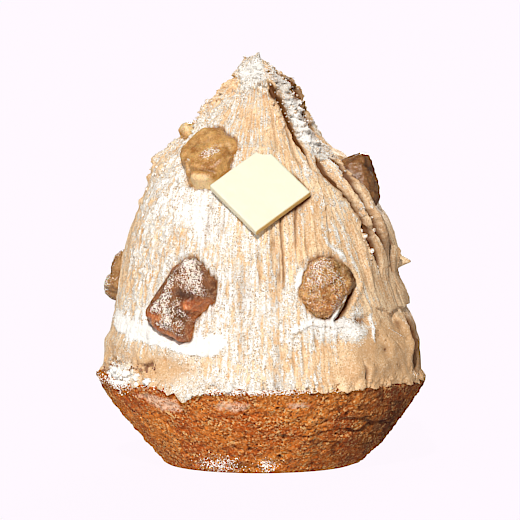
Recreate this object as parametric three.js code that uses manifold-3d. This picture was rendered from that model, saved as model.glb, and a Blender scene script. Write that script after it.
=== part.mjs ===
// Chestnut cream dessert: a peaked mound of cream on a pastry tartlet. Millimetres, +Z up.
// The origin is the centre of the foot that it stands on, and the plaque faces -Y.
// A flared pastry base carries the mound, which a spatula has drawn up to a peak.
// Broken candied chestnuts and a plaque of white chocolate are pressed into the cream.
// Angles go round the vertical axis in degrees: 0 faces -Y, and 90 faces +X.

import * as THREE from "three";
import { mergeVertices } from "three/addons/utils/BufferGeometryUtils.js";
import Module from "manifold-3d";

// Driving dimensions
const HEIGHT = 100;
const RIM_RADIUS = 40;
const FOOT_RADIUS = 22.6;
const RIM_Z = 21.6;
const PLAQUE_SIDE = 17;
const PLAQUE_THICKNESS = 2.2;
const GAP = 0.3; // kept between neighbouring pieces
const WELD = 1e-4; // points closer than this are one

// Pastry base: a solid tartlet with a shallow bed inside its rim
const FOOT_ROUNDING = 1.8;
const FLANK_BULGE = 1.3; // how far the flank swells from a straight cone
const RIM_WIDTH = 3.2;
const RIM_ROUNDING = 1.6;
const BED_Z = 19.2;
const BED_RADIUS = 34.5;
const RIM_UNEVEN = 0.45; // how far the rim strays in and out, in waves of these counts and shares
const RIM_WAVES = [
  { count: 3, share: 0.5, start: 0.6 },
  { count: 7, share: 0.3, start: 2.1 },
  { count: 13, share: 0.2, start: 4 },
];
const RIM_SWELL = { angle: -88, lift: 1.1, wide: 42 }; // the rim stands highest on one side
const FLANK_SWELL = { angle: 84, lift: 1.2, wide: 50 }; // and the flank is fullest on the other
const BASE_SEGMENTS = 64;
const BASE_CURVE_POINTS = 4;

// Mound of cream: a steep flank below, and a cone above that ends in a blunt tip
const FLANK_RADIUS = 38.4; // where the flank meets the rim
const FLANK_TAPER = 0.185; // radius lost per millimetre of height
const CONE_APEX_Z = HEIGHT + 3.4;
const CONE_TAPER = 0.755;
const SHOULDER_BLEND = 6;
const TIP_LENGTH = 2; // the stretch at the top that rounds off
const MOUND_SEGMENTS = 96;
const MOUND_RINGS = 29;

// Band of smoothed cream round the foot of the mound, open at the front
const BAND_TOP_Z = 33;
const BAND_EDGE = 3;
const BAND_LIFT = 0.9;
const BAND_OPENING = [12, 34]; // angle from the front where the band starts, and where it is full

// Places where the cream is heaped up or hollow: middle, height and spread
const HEAPS = [
  { angle: -72, z: 75, lift: 1.7, wide: 48, tall: 9 },
  { angle: -84, z: 74, lift: 1.5, wide: 14, tall: 3.5 },
  { angle: 84, z: 81, lift: -5.6, wide: 32, tall: 7.5 },
  { angle: 90, z: 64, lift: -1.9, wide: 16, tall: 4.5 },
  { angle: 76, z: 32, lift: 1.5, wide: 34, tall: 5.5 },
  { angle: 168, z: 72, lift: 1.5, wide: 40, tall: 9 },
  { angle: -140, z: 48, lift: -1.1, wide: 36, tall: 12 },
];

// Spatula strokes: each swells towards a lip, which runs from a low to a high [angle, z]
const LIP_WIDTH = 1.6;
const LIP_FADE = 5; // height over which a lip dies out at both ends
const STROKES = [
  { low: [31, 62], high: [17, 97], lift: 2.3, reach: 62 },
  { low: [62, 70], high: [50, 95], lift: 1.6, reach: 14 },
  { low: [70, 44], high: [40, 72], lift: 1.5, reach: 26 },
  { low: [84, 40], high: [56, 74], lift: 1.6, reach: 20 },
  { low: [112, 36], high: [88, 92], lift: 1.7, reach: 26 },
  { low: [146, 34], high: [132, 95], lift: 1.9, reach: 34 },
  { low: [184, 38], high: [172, 90], lift: 1.6, reach: 36 },
  { low: [222, 34], high: [214, 96], lift: 1.9, reach: 36 },
  { low: [252, 36], high: [246, 88], lift: 1.4, reach: 30 },
];

// A spike of cream that the spatula pulled out
const SPIKE = { angle: 86.25, z: 48.6, length: 4.2, radius: 2.4 };

// Outlines of broken chestnuts, seen from outside: right and up from the middle
const WEDGE = [
  [2.4, 11], [-5.3, 5.5], [-10.6, -4.5], [-8.9, -7.3], [1.2, -11], [9.4, -0.5], [9.2, 5], [5.8, 8.8],
];
const SLAB = [
  [-7.6, 0.4], [-6.9, -3.6], [-5.2, -8.8], [-2.4, -9.4], [3.6, -6.1],
  [9.7, -1.3], [9.7, 4], [6, 7.2], [0.6, 8], [-4, 5.6],
];
const DISC = [
  [-7.5, 1.5], [-5.3, -6], [-1.6, -8], [1.4, -7], [7, 0.2], [6, 4.4], [2.7, 7], [-1.6, 7.9], [-3.9, 6.6],
];
const STUB = [[-4.5, -6.6], [2.6, -7.6], [5, -2], [4.6, 4.6], [0, 6.8], [-5, 4]];
const CHIP = [[-6, -2], [-2, -6.4], [4.6, -5], [6.2, 1], [2, 6], [-4, 5]];

// Chestnuts: outline with its turn and scale, place on the mound, crown above the cream,
// root below it, how steeply the crown falls off to the right and upwards, and fineness
const FINE = 3;
const MIDDLING = 2;
const COARSE = 1;
const CHESTNUTS = [
  {
    name: "chestnut_upper_left", outline: SLAB, turn: 0, scale: 1, detail: FINE,
    angle: -33, z: 75.4, crown: 2.4, root: 4.6, fall: [0.1, 0.12],
  },
  {
    name: "chestnut_lower_left", outline: WEDGE, turn: 0, scale: 1, detail: FINE,
    angle: -32.6, z: 41.8, crown: 3.6, root: 5, fall: [-0.14, 0.1],
  },
  {
    name: "chestnut_lower_right", outline: DISC, turn: 0, scale: 1, detail: FINE,
    angle: 28, z: 45.2, crown: 1.7, root: 5, fall: [0.08, -0.05],
  },
  {
    name: "chestnut_right_side", outline: STUB, turn: 0, scale: 1, detail: FINE,
    angle: 76, z: 69.4, crown: 3.4, root: 4, fall: [-0.1, -0.3],
  },
  {
    name: "chestnut_left_side", outline: CHIP, turn: -35, scale: 1.04, detail: FINE,
    angle: -98, z: 45.6, crown: 3.4, root: 4, fall: [0, 0.2],
  },
  {
    name: "chestnut_back_upper", outline: SLAB, turn: 130, scale: 0.86, detail: MIDDLING,
    angle: 166, z: 66, crown: 3, root: 4.6, fall: [0.1, -0.1],
  },
  {
    name: "chestnut_back_right", outline: WEDGE, turn: 70, scale: 0.8, detail: MIDDLING,
    angle: 126, z: 43, crown: 3.4, root: 4.6, fall: [0.1, 0.1],
  },
  {
    name: "chestnut_back_left", outline: DISC, turn: 200, scale: 1.05, detail: MIDDLING,
    angle: -146, z: 40, crown: 2.6, root: 5, fall: [-0.08, 0.08],
  },
  {
    name: "chestnut_crumb", outline: CHIP, turn: 10, scale: 0.36, detail: COARSE,
    angle: -78, z: 81, crown: 1.8, root: 1.6, fall: [0, 0.1],
  },
];
const CHESTNUT_SHARPNESS = 9; // a higher power makes crisper edges
const SIDE_LEAN = 0.22; // the sides lean in towards the crown
const LEAN_REACH = 4; // the slope under a chestnut is measured this far up and down

// Plaque of white chocolate: a square on one corner, leaning back against the cream
const PLAQUE_Z = 67.9;
const PLAQUE_LEAN = 35;
const PLAQUE_TURN = 45 - 4.5;
const PLAQUE_SINK = 1.1; // how deep its back is pressed into the cream
const PLAQUE_EDGE = 0.35;

const wasm = await Module();
wasm.setup();

const radians = THREE.MathUtils.degToRad;
const smoothstep = THREE.MathUtils.smoothstep;

// The smaller of two values, rounded where they cross.
function smoothMin(a, b, blend) {
  const near = Math.max(blend - Math.abs(a - b), 0) / blend;
  return Math.min(a, b) - (near * near * blend) / 4;
}

// Signed turn from one angle to another, in degrees.
function turnBetween(from, to) {
  return THREE.MathUtils.euclideanModulo(to - from + 180, 360) - 180;
}

function bell(x) {
  return Math.exp(-x * x);
}

// A geometry as a solid that can be cut, and back again.
function toSolid(geometry) {
  const bare = new THREE.BufferGeometry().setAttribute("position", geometry.getAttribute("position"));
  const merged = mergeVertices(bare.setIndex(geometry.index), WELD);
  return new wasm.Manifold(
    new wasm.Mesh({
      numProp: 3,
      vertProperties: new Float32Array(merged.attributes.position.array),
      triVerts: new Uint32Array(merged.index.array),
    }),
  );
}

function toGeometry(solid) {
  const { vertProperties, triVerts } = solid.getMesh();
  const geometry = new THREE.BufferGeometry();
  geometry.setAttribute("position", new THREE.BufferAttribute(vertProperties, 3));
  geometry.setIndex(new THREE.BufferAttribute(triVerts, 1));
  geometry.computeVertexNormals();
  return geometry;
}

// A profile of [radius, z] points turned round the vertical axis.
// Each point goes where move(angle, radius, z) says.
function turned(profile, segments, move) {
  const points = profile.map(([radius, z]) => new THREE.Vector2(radius, z));
  const lathe = new THREE.LatheGeometry(points, segments).rotateX(Math.PI / 2);
  const bare = new THREE.BufferGeometry().setAttribute("position", lathe.getAttribute("position"));
  const geometry = mergeVertices(bare.setIndex(lathe.index), WELD);
  const place = geometry.getAttribute("position");
  for (let i = 0; i < place.count; i++) {
    const [x, y] = [place.getX(i), place.getY(i)];
    const angle = THREE.MathUtils.radToDeg(Math.atan2(x, -y));
    const [radius, z] = move(angle, Math.hypot(x, y), place.getZ(i));
    place.setXYZ(i, radius * Math.sin(radians(angle)), -radius * Math.cos(radians(angle)), z);
  }
  return geometry;
}

// How far the hand-shaped rim strays outwards, or inwards where this is negative.
function rimWaver(angle) {
  const waves = RIM_WAVES.map(({ count, share, start }) => share * Math.cos(count * radians(angle) + start));
  return RIM_UNEVEN * waves.reduce((sum, wave) => sum + wave, 0);
}

function swellAt(swell, angle) {
  return swell.lift * bell(turnBetween(swell.angle, angle) / swell.wide);
}

// Outline of half the base, from the axis at the foot round the rim to the axis on the bed.
function baseProfile() {
  const flankLow = [FOOT_RADIUS + FOOT_ROUNDING, FOOT_ROUNDING];
  const flankHigh = [RIM_RADIUS - RIM_ROUNDING / 4, RIM_Z - RIM_ROUNDING];
  const swell = flankLow.map((low, i) => (low + flankHigh[i]) / 2 + (i === 0 ? FLANK_BULGE : -FLANK_BULGE));
  const path = new THREE.Path();
  path.moveTo(0, 0).lineTo(FOOT_RADIUS - FOOT_ROUNDING / 2, 0);
  path.quadraticCurveTo(FOOT_RADIUS + FOOT_ROUNDING / 2, 0, ...flankLow);
  path.quadraticCurveTo(...swell, ...flankHigh);
  path.quadraticCurveTo(RIM_RADIUS + RIM_ROUNDING / 4, RIM_Z, RIM_RADIUS - RIM_WIDTH / 2, RIM_Z);
  path.quadraticCurveTo(RIM_RADIUS - RIM_WIDTH, RIM_Z, BED_RADIUS, BED_Z);
  path.lineTo(0, BED_Z);
  return path.getPoints(BASE_CURVE_POINTS).map((point) => [point.x, point.y]);
}

// The base, and with a growth the room that it needs: wider outside its rim, narrower inside it.
function base(grow = 0) {
  const rimMiddle = RIM_RADIUS - RIM_WIDTH / 2;
  return turned(baseProfile(), BASE_SEGMENTS, (angle, radius, z) => {
    if (z <= 0) return [radius, z];
    if (radius === 0) return [radius, z + grow];
    if (radius <= BED_RADIUS && z >= BED_Z) return [radius - grow, z + grow];
    const full = smoothstep(z, 0, FOOT_ROUNDING) * (1 - smoothstep(z, FOOT_ROUNDING, BED_Z));
    const out = rimWaver(angle) * smoothstep(z, 0, RIM_Z) + swellAt(FLANK_SWELL, angle) * full;
    const rise = swellAt(RIM_SWELL, angle) * smoothstep(z, BED_Z / 2, RIM_Z);
    return [radius + out + Math.sign(radius - rimMiddle) * grow, z + rise + grow];
  });
}

// Radius of the mound before the spatula marks it.
function moundProfile(z) {
  const flank = FLANK_RADIUS - FLANK_TAPER * (z - RIM_Z);
  const cone = CONE_TAPER * (CONE_APEX_Z - z);
  const left = THREE.MathUtils.clamp((HEIGHT - z) / TIP_LENGTH, 0, 1);
  return smoothMin(flank, cone, SHOULDER_BLEND) * Math.sqrt(left * (2 - left));
}

// How far the smoothed band stands out at the foot of the mound.
function bandLift(angle, z) {
  const present = smoothstep(Math.abs(turnBetween(0, angle)), ...BAND_OPENING);
  return BAND_LIFT * present * (1 - smoothstep(z, BAND_TOP_Z - BAND_EDGE, BAND_TOP_Z));
}

function heapLift(angle, z) {
  const lifts = HEAPS.map((heap) => {
    const across = bell(turnBetween(heap.angle, angle) / heap.wide);
    return heap.lift * across * bell((z - heap.z) / heap.tall);
  });
  return lifts.reduce((sum, lift) => sum + lift, 0);
}

// A stroke swells over its reach up to its lip, and drops away within the lip's width.
function strokeLift(stroke, angle, z, radius) {
  const [[lowAngle, lowZ], [highAngle, highZ]] = [stroke.low, stroke.high];
  const climb = THREE.MathUtils.clamp((z - lowZ) / (highZ - lowZ), 0, 1);
  const past = turnBetween(THREE.MathUtils.lerp(lowAngle, highAngle, climb), angle);
  const swell = past < 0 ? Math.max(1 + past / stroke.reach, 0) ** 2 : 1;
  const drop = 1 - smoothstep(radians(past) * radius, 0, LIP_WIDTH);
  const grown = smoothstep(z, lowZ - LIP_FADE, lowZ + LIP_FADE);
  const gone = smoothstep(z, highZ - LIP_FADE, highZ);
  return stroke.lift * swell * drop * grown * (1 - gone);
}

function spikeLift(angle, z) {
  const sideways = radians(turnBetween(SPIKE.angle, angle)) * moundProfile(SPIKE.z);
  return SPIKE.length * bell(Math.hypot(sideways, z - SPIKE.z) / SPIKE.radius);
}

function creamRadius(angle, z) {
  const profile = moundProfile(z);
  const strokes = STROKES.map((stroke) => strokeLift(stroke, angle, z, profile));
  const lift = Math.max(...strokes) + bandLift(angle, z) + heapLift(angle, z) + spikeLift(angle, z);
  return profile + lift * smoothstep(HEIGHT - z, 0, 2 * LIP_FADE);
}

// The mound on its own, standing in the bed before the base is cut out of it.
function mound() {
  const step = (HEIGHT - RIM_Z) / MOUND_RINGS;
  const rings = Array.from({ length: MOUND_RINGS }, (_, i) => RIM_Z + i * step);
  const outside = rings.map((z) => [moundProfile(z), z]);
  const profile = [[0, BED_Z], [BED_RADIUS, BED_Z], ...outside, [0, HEIGHT]];
  return turned(profile, MOUND_SEGMENTS, (angle, radius, z) => {
    const onSkin = z >= RIM_Z && radius > 0;
    return [onSkin ? creamRadius(angle, z) : radius, z];
  });
}

// Where a piece sits on the mound: x to the right, y up the slope and z straight out.
function seat(angle, z, lean, sink) {
  const across = new THREE.Vector3(Math.cos(radians(angle)), Math.sin(radians(angle)), 0);
  const outwards = new THREE.Vector3(Math.sin(radians(angle)), -Math.cos(radians(angle)), 0);
  const up = new THREE.Vector3(0, 0, 1);
  const normal = outwards.clone().multiplyScalar(Math.cos(lean)).addScaledVector(up, Math.sin(lean));
  const slope = normal.clone().cross(across);
  const foot = outwards.multiplyScalar(creamRadius(angle, z)).setZ(z).addScaledVector(normal, -sink);
  return new THREE.Matrix4().makeBasis(across, slope, normal).setPosition(foot);
}

// How far the mound's side leans back at a height.
function leanAt(z) {
  return Math.atan2(moundProfile(z - LEAN_REACH) - moundProfile(z + LEAN_REACH), 2 * LEAN_REACH);
}

// The faces of a broken chestnut as [outward normal, distance]: its sides, its crown and its root.
function chestnutFaces({ outline, turn, scale, crown, root, fall }) {
  const centre = new THREE.Vector2();
  const corners = outline.map(([x, y]) =>
    new THREE.Vector2(x, y).multiplyScalar(scale).rotateAround(centre, radians(turn)),
  );
  const turnsLeft = THREE.ShapeUtils.area(corners) > 0 ? 1 : -1;
  const sides = corners.map((corner, i) => {
    const edge = corners[(i + 1) % corners.length].clone().sub(corner);
    const out = new THREE.Vector2(edge.y, -edge.x).multiplyScalar(turnsLeft).normalize();
    return [new THREE.Vector3(out.x, out.y, SIDE_LEAN).normalize(), out.dot(corner)];
  });
  const top = new THREE.Vector3(fall[0], fall[1], 1).normalize();
  return [...sides, [top, crown], [new THREE.Vector3(0, 0, -1), root]];
}

// A ball pressed against the chestnut's faces, with its edges rounded by a power mean.
function chestnut(spec, grow = 0) {
  const faces = chestnutFaces(spec);
  const geometry = new THREE.IcosahedronGeometry(1, spec.detail);
  const place = geometry.getAttribute("position");
  const direction = new THREE.Vector3();
  for (let i = 0; i < place.count; i++) {
    direction.fromBufferAttribute(place, i).normalize();
    const pressed = faces.reduce((sum, [normal, distance]) => {
      return sum + Math.max(normal.dot(direction) / distance, 0) ** CHESTNUT_SHARPNESS;
    }, 0);
    const radius = pressed ** (-1 / CHESTNUT_SHARPNESS);
    direction.multiplyScalar(radius + grow);
    place.setXYZ(i, direction.x, direction.y, direction.z);
  }
  return geometry;
}

// The plaque, with its back at z 0.
function plaque(grow = 0) {
  const half = PLAQUE_SIDE / 2 - PLAQUE_EDGE + grow;
  const square = new THREE.Shape([
    new THREE.Vector2(-half, -half),
    new THREE.Vector2(half, -half),
    new THREE.Vector2(half, half),
    new THREE.Vector2(-half, half),
  ]);
  const depth = PLAQUE_THICKNESS - 2 * PLAQUE_EDGE + 2 * grow;
  const edge = { bevelThickness: PLAQUE_EDGE, bevelSize: PLAQUE_EDGE, bevelSegments: 2 };
  const geometry = new THREE.ExtrudeGeometry(square, { depth, bevelEnabled: true, ...edge });
  return geometry.translate(0, 0, PLAQUE_EDGE - grow).rotateZ(radians(PLAQUE_TURN));
}

function finish(color, roughness) {
  return new THREE.MeshStandardMaterial({ color, roughness, metalness: 0 });
}

const pastry = finish(0xb06a2c, 0.85);
const cream = finish(0xd9ac7c, 0.6);
const candied = finish(0x9a5a30, 0.3);
const whiteChocolate = finish(0xfbf3d0, 0.45);

function part(name, geometry, material) {
  const mesh = new THREE.Mesh(geometry, material);
  mesh.name = name;
  return mesh;
}

const dessert = new THREE.Group();
dessert.add(part("pastry_base", base(), pastry));

const plaqueSeat = seat(0, PLAQUE_Z, radians(PLAQUE_LEAN), PLAQUE_SINK);
const plaquePocket = toSolid(plaque(GAP).applyMatrix4(plaqueSeat));
const plaqueMesh = part("chocolate_plaque", plaque(), whiteChocolate);
plaqueMesh.applyMatrix4(plaqueSeat);
dessert.add(plaqueMesh);

let creamSolid = toSolid(mound()).subtract(toSolid(base(GAP))).subtract(plaquePocket);
for (const spec of CHESTNUTS) {
  const place = seat(spec.angle, spec.z, leanAt(spec.z), 0);
  const clear = toSolid(chestnut(spec).applyMatrix4(place)).subtract(plaquePocket);
  dessert.add(part(spec.name, toGeometry(clear), candied));
  creamSolid = creamSolid.subtract(toSolid(chestnut(spec, GAP).applyMatrix4(place)));
}
dessert.add(part("cream_mound", toGeometry(creamSolid), cream));

export default dessert;
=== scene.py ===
"""The looks of a chestnut cream dessert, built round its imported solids.

Metres, +Z up, and the plaque faces -Y, as in the solids. Shapes are worked out in millimetres.
Angles go round the vertical axis in degrees: 0 faces -Y, and 90 faces +X.
"""

import math

import bpy
import numpy as np
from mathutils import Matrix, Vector
from mathutils.bvhtree import BVHTree


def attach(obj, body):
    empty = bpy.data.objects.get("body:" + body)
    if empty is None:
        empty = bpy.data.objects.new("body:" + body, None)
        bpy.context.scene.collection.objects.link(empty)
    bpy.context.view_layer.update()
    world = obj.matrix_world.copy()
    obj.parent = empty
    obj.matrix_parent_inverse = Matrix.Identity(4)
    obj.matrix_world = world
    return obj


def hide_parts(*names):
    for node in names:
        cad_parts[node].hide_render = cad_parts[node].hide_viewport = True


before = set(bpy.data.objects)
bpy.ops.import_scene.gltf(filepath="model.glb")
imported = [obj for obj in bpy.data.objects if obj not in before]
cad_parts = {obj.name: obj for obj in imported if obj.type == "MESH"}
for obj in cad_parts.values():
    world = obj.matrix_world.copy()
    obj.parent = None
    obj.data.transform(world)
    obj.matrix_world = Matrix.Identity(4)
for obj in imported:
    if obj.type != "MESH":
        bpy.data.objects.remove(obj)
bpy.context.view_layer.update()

MM = 0.001

# The solids' own sizes
HEIGHT = 100
RIM_RADIUS = 40
FOOT_RADIUS = 22.6
RIM_Z = 21.6
FOOT_ROUNDING = 1.8
FLANK_BULGE = 1.3
RIM_WIDTH = 3.2
RIM_ROUNDING = 1.6
BED_Z = 19.2
BED_RADIUS = 34.5
RIM_UNEVEN = 0.45
RIM_WAVES = ((3, 0.5, 0.6), (7, 0.3, 2.1), (13, 0.2, 4))  # count, share and start
RIM_SWELL = (-88, 1.1, 42)  # angle, lift and width
FLANK_SWELL = (84, 1.2, 50)
FLANK_RADIUS = 38.4
FLANK_TAPER = 0.185
CONE_APEX_Z = HEIGHT + 3.4
CONE_TAPER = 0.755
SHOULDER_BLEND = 6
TIP_LENGTH = 2
BAND_TOP_Z = 33
BAND_EDGE = 3
BAND_LIFT = 0.9
BAND_OPENING = (12, 34)
LIP_FADE = 5
HEAPS = (  # angle, z, width, height and lift
    (-72, 75, 48, 9, 1.7), (-84, 74, 14, 3.5, 1.5), (84, 81, 32, 7.5, -5.6), (90, 64, 16, 4.5, -1.9),
    (76, 32, 34, 5.5, 1.5), (168, 72, 40, 9, 1.5), (-140, 48, 36, 12, -1.1),
)
STROKES = (  # low angle and z, high angle and z, lift and reach
    (31, 62, 17, 97, 2.3, 62), (62, 70, 50, 95, 1.6, 14), (70, 44, 40, 72, 1.5, 26),
    (84, 40, 56, 74, 1.6, 20), (112, 36, 88, 92, 1.7, 26), (146, 34, 132, 95, 1.9, 34),
    (184, 38, 172, 90, 1.6, 36), (222, 34, 214, 96, 1.9, 36), (252, 36, 246, 88, 1.4, 30),
)
SPIKE = (86.25, 49.2, 3.5, 2.5)  # angle, z, length and radius

# Fineness of the skins
MOUND_COLUMNS = 640
MOUND_ROWS = 300
MOUND_BANDS = 2  # the mound's skin is in bands, one above the other
FRONT_FINENESS = 0.42  # how much closer the columns stand at the front
FINE_STEPS = 2881  # steps of a full turn that the columns are chosen from
SLOPE_STEPS = 2000  # steps of the slope that the rows are chosen from
BASE_COLUMNS = 640
BASE_ROWS = 140

# Where the camera of the photo stood
CAMERA_DISTANCE = 1.2
CAMERA_ELEVATION = 4.3
AIM_Z = 0.0494
FRAME_WIDTH = 0.126
SENSOR = 36
FARTHEST = 200

# Noise on whole-number places, mixed smoothly between them

MASK = np.uint64(0xFFFFFFFF)
MIXERS = tuple(np.uint64(n) for n in (374761393, 668265263, 1274126177, 3266489917, 0x45D9F3B))
SHIFT = np.uint64(16)


def scatter(ix, iy, iz, seed):
    """A random value from 0 to 1 for each whole-number place."""
    parts = [(np.asarray(i, np.int64).astype(np.uint64) & MASK) * m for i, m in zip((ix, iy, iz), MIXERS)]
    h = (parts[0] + parts[1] + parts[2] + np.uint64(seed) * MIXERS[3]) & MASK
    for _ in range(2):
        h = ((h ^ (h >> SHIFT)) * MIXERS[4]) & MASK
    return ((h ^ (h >> SHIFT)) & MASK).astype(float) / float(MASK)


def noise(x, y, z, seed):
    """Smooth noise from -1 to 1, with lumps about one unit across."""
    x, y, z = np.broadcast_arrays(x, y, z)
    low = [np.floor(v) for v in (x, y, z)]
    t = [v - f for v, f in zip((x, y, z), low)]
    t = [v * v * v * (v * (v * 6 - 15) + 10) for v in t]
    cell = [f.astype(np.int64) for f in low]
    total = np.zeros(x.shape)
    for corner in np.ndindex(2, 2, 2):
        weight = np.ones(x.shape)
        for step, share in zip(corner, t):
            weight = weight * (share if step else 1 - share)
        total += weight * scatter(cell[0] + corner[0], cell[1] + corner[1], cell[2] + corner[2], seed)
    return 2 * total - 1


def layered(x, y, z, seed, octaves=3, gain=0.5):
    """Noise with finer and fainter noise on top."""
    total, share, scale = 0, 1, 1
    for octave in range(octaves):
        total = total + share * noise(x * scale, y * scale, z * scale, seed + octave)
        share *= gain
        scale *= 2.07
    return total


def nearest_cell(x, y, z, seed):
    """Distance to the nearest of points strewn one to a unit cube, and that point's random value."""
    cell = [np.floor(v).astype(np.int64) for v in (x, y, z)]
    best = np.full(x.shape, 9.0)
    value = np.zeros(x.shape)
    for step in np.ndindex(3, 3, 3):
        at = [c + s - 1 for c, s in zip(cell, step)]
        gap = [a + scatter(*at, seed + k) - v for k, (a, v) in enumerate(zip(at, (x, y, z)))]
        distance = np.sqrt(sum(g * g for g in gap))
        nearer = distance < best
        best = np.where(nearer, distance, best)
        value = np.where(nearer, scatter(*at, seed + 3), value)
    return best, value


def smoothstep(x, low, high):
    t = np.clip((x - low) / (high - low), 0, 1)
    return t * t * (3 - 2 * t)


def bell(x):
    return np.exp(-np.square(x))


def turn_between(start, end):
    return (end - start + 180) % 360 - 180


def bell_round(angle, at, width):
    """1 at an angle, fading over a width in degrees to both sides."""
    return bell(turn_between(at, angle) / width)


def smooth_min(a, b, blend):
    near = np.maximum(blend - np.abs(a - b), 0) / blend
    return np.minimum(a, b) - near * near * blend / 4


def patch(angle, z, spot):
    """How strongly a spot of (angle, z, width, height, amount) covers each place."""
    return spot[4] * bell_round(angle, spot[0], spot[2]) * bell((z - spot[1]) / spot[3])


def spots(angle, z, table):
    """The sum of a table of spots at each place."""
    return sum(patch(angle, z, spot) for spot in table)


def scaled(place, size):
    """A place for noise whose lumps are of a size in millimetres."""
    return [p / size for p in place]


# The mound's form, as in the solids

def mound_profile(z):
    flank = FLANK_RADIUS - FLANK_TAPER * (z - RIM_Z)
    cone = CONE_TAPER * (CONE_APEX_Z - z)
    left = np.clip((HEIGHT - z) / TIP_LENGTH, 0, 1)
    return smooth_min(flank, cone, SHOULDER_BLEND) * np.sqrt(left * (2 - left))


def past_lip(stroke, angle, z):
    """Degrees past a stroke's lip, and how much of the stroke is there at this height."""
    low_angle, low_z, high_angle, high_z = stroke[:4]
    climb = np.clip((z - low_z) / (high_z - low_z), 0, 1)
    past = turn_between(low_angle + (high_angle - low_angle) * climb, angle)
    alive = smoothstep(z, low_z - LIP_FADE, low_z + LIP_FADE) * (1 - smoothstep(z, high_z - LIP_FADE, high_z))
    return past, alive


def stroke_lift(stroke, angle, z, radius, lip_width):
    past, alive = past_lip(stroke, angle, z)
    lift, reach = stroke[4:]
    swell = np.where(past < 0, np.maximum(1 + past / reach, 0) ** 2, 1)
    drop = 1 - smoothstep(np.radians(past) * radius, 0, lip_width)
    return lift * swell * drop * alive


def band_lift(angle, z):
    present = smoothstep(np.abs(turn_between(0, angle)), *BAND_OPENING)
    return BAND_LIFT * present * (1 - smoothstep(z, BAND_TOP_Z - BAND_EDGE, BAND_TOP_Z))


def spike_lift(angle, z):
    at_angle, at_z, length, radius = SPIKE
    sideways = np.radians(turn_between(at_angle, angle)) * mound_profile(np.float64(at_z))
    return length * np.exp(-((np.hypot(sideways, z - at_z) / radius) ** 1.3))


# What the spatula left on the mound

LIP_WIDTH = 0.8
LIP_RAGGED = 2.2  # degrees that a lip strays from its line
OVERHANG = 1.1  # how far a lip leans over the groove beside it
TIP_LEAN = (92, 99, 95, 2.0)  # heights between which the tip leans, its low side's angle and its drop
TIP_LUMPS = (1.5, 0.9)  # size and depth
UPRIGHT = (70, 80)  # the heights between which the lips stop leaning
COARSER = (78, 90)  # the heights between which the crumbs grow coarser
SLIM_RADIUS = 14  # a mound slimmer than this has less relief
FRONT = (-20, 52, 0.62)  # angle and width of the deepest streaks, and their share elsewhere
CRUMB_CELL = 2.2
CRAG_SIZE = 1.3
PORE_CELL = 1.8
PORE_SIZE = 0.22  # as a share of its cell
CLOT_SIZE = 1.1
CRUST_CELL = 1.6
DEEP = 1.5  # a groove of this depth is free of sugar and painted dark as full shade
SHELF_HANG = 0.55  # how far a shelf's edge hangs, as a share of its depth
SKIN_RADIUS = 35  # the radius that the streaks' spacing is measured at
STREAKS = ((3.4, 0.42, 11), (1.7, 0.3, 12), (0.85, 0.16, 13))  # spacing, depth and seed
STREAK_LENGTH = 40
STREAK_EDGE = 0.34  # share of a streak's swing that its groove takes up
GROOVES = (  # (z, angle) pairs along a groove, its depth and its width
    (
        ((93.5, 11), (90.5, 17), (88.7, 20), (85.9, 23.5), (82.7, 26), (80, 28), (77, 30.5), (73.5, 32.6)),
        2.8, 0.95,
    ),
    (((95, 52), (92, 54), (88, 57), (84, 60), (80, 62)), 2.4, 1.0),
    (
        ((76, 40), (71, 41.5), (68, 43.8), (64.3, 48.4), (60.9, 51), (57.6, 52.4), (54.4, 54.7),
         (47.5, 58.6)),
        2.4, 0.85,
    ),
    (((76, 54), (71.5, 56), (66.8, 56.5), (61.8, 58.6), (57, 61), (50, 64)), 2.2, 0.8),
    (((66, 66), (62, 67), (58, 68.5), (53, 71), (44, 73)), 1.8, 0.8),
    (((60, 58.5), (56, 61), (52, 64.5), (48.5, 67.5)), 1.6, 1.0),
    (((45.6, 41.6), (43.7, 40.5), (41, 37.2), (38.6, 33.7), (37.3, 30.3)), 1.6, 0.7),
    (((38, 74), (33, 75.5), (28.5, 75), (22, 74)), 1.0, 1.6),
    (((58, 79), (53, 80.5)), 1.2, 0.6),
    (((66, 16.8), (53, 15.5)), 0.8, 0.33),
    (((65, 9.4), (44, 9.9)), 0.85, 0.34),
    (((62, 5), (49, 5.6)), 0.5, 0.3),
    (((55, 8.4), (46, 8.2)), 0.6, 0.3),
    (((59, 5.8), (54, 6.2)), 0.5, 0.3),
    (((56, -0.8), (45, -0.2)), 0.4, 0.35),
    (((58, 20), (53, 20.6)), 0.6, 0.4),
    (((34, 16.2), (25, 16.6)), 0.5, 0.4),
    (((32, 12.2), (25, 12.4)), 0.5, 0.35),
    (((35.5, 21.4), (31.5, 21.6)), 0.6, 0.4),
    (((35.5, 25), (31.5, 25.2)), 0.6, 0.4),
    (((35, 30.8), (31.5, 31)), 0.5, 0.4),
    (((89, 10), (77, 12)), 0.6, 0.4),
    (((84, 19.6), (72, 23)), 0.7, 0.4),
    (((28, 39.2), (25.4, 40.2), (22.8, 39.8)), 1.3, 0.55),
    (((33, 56), (29, 62)), 0.35, 0.4),
)
SMOOTH_BANDS = ((-80, -16, 30.5), (31, 120, 36.5), (150, 230, 31))  # first angle, last angle and top
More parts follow.
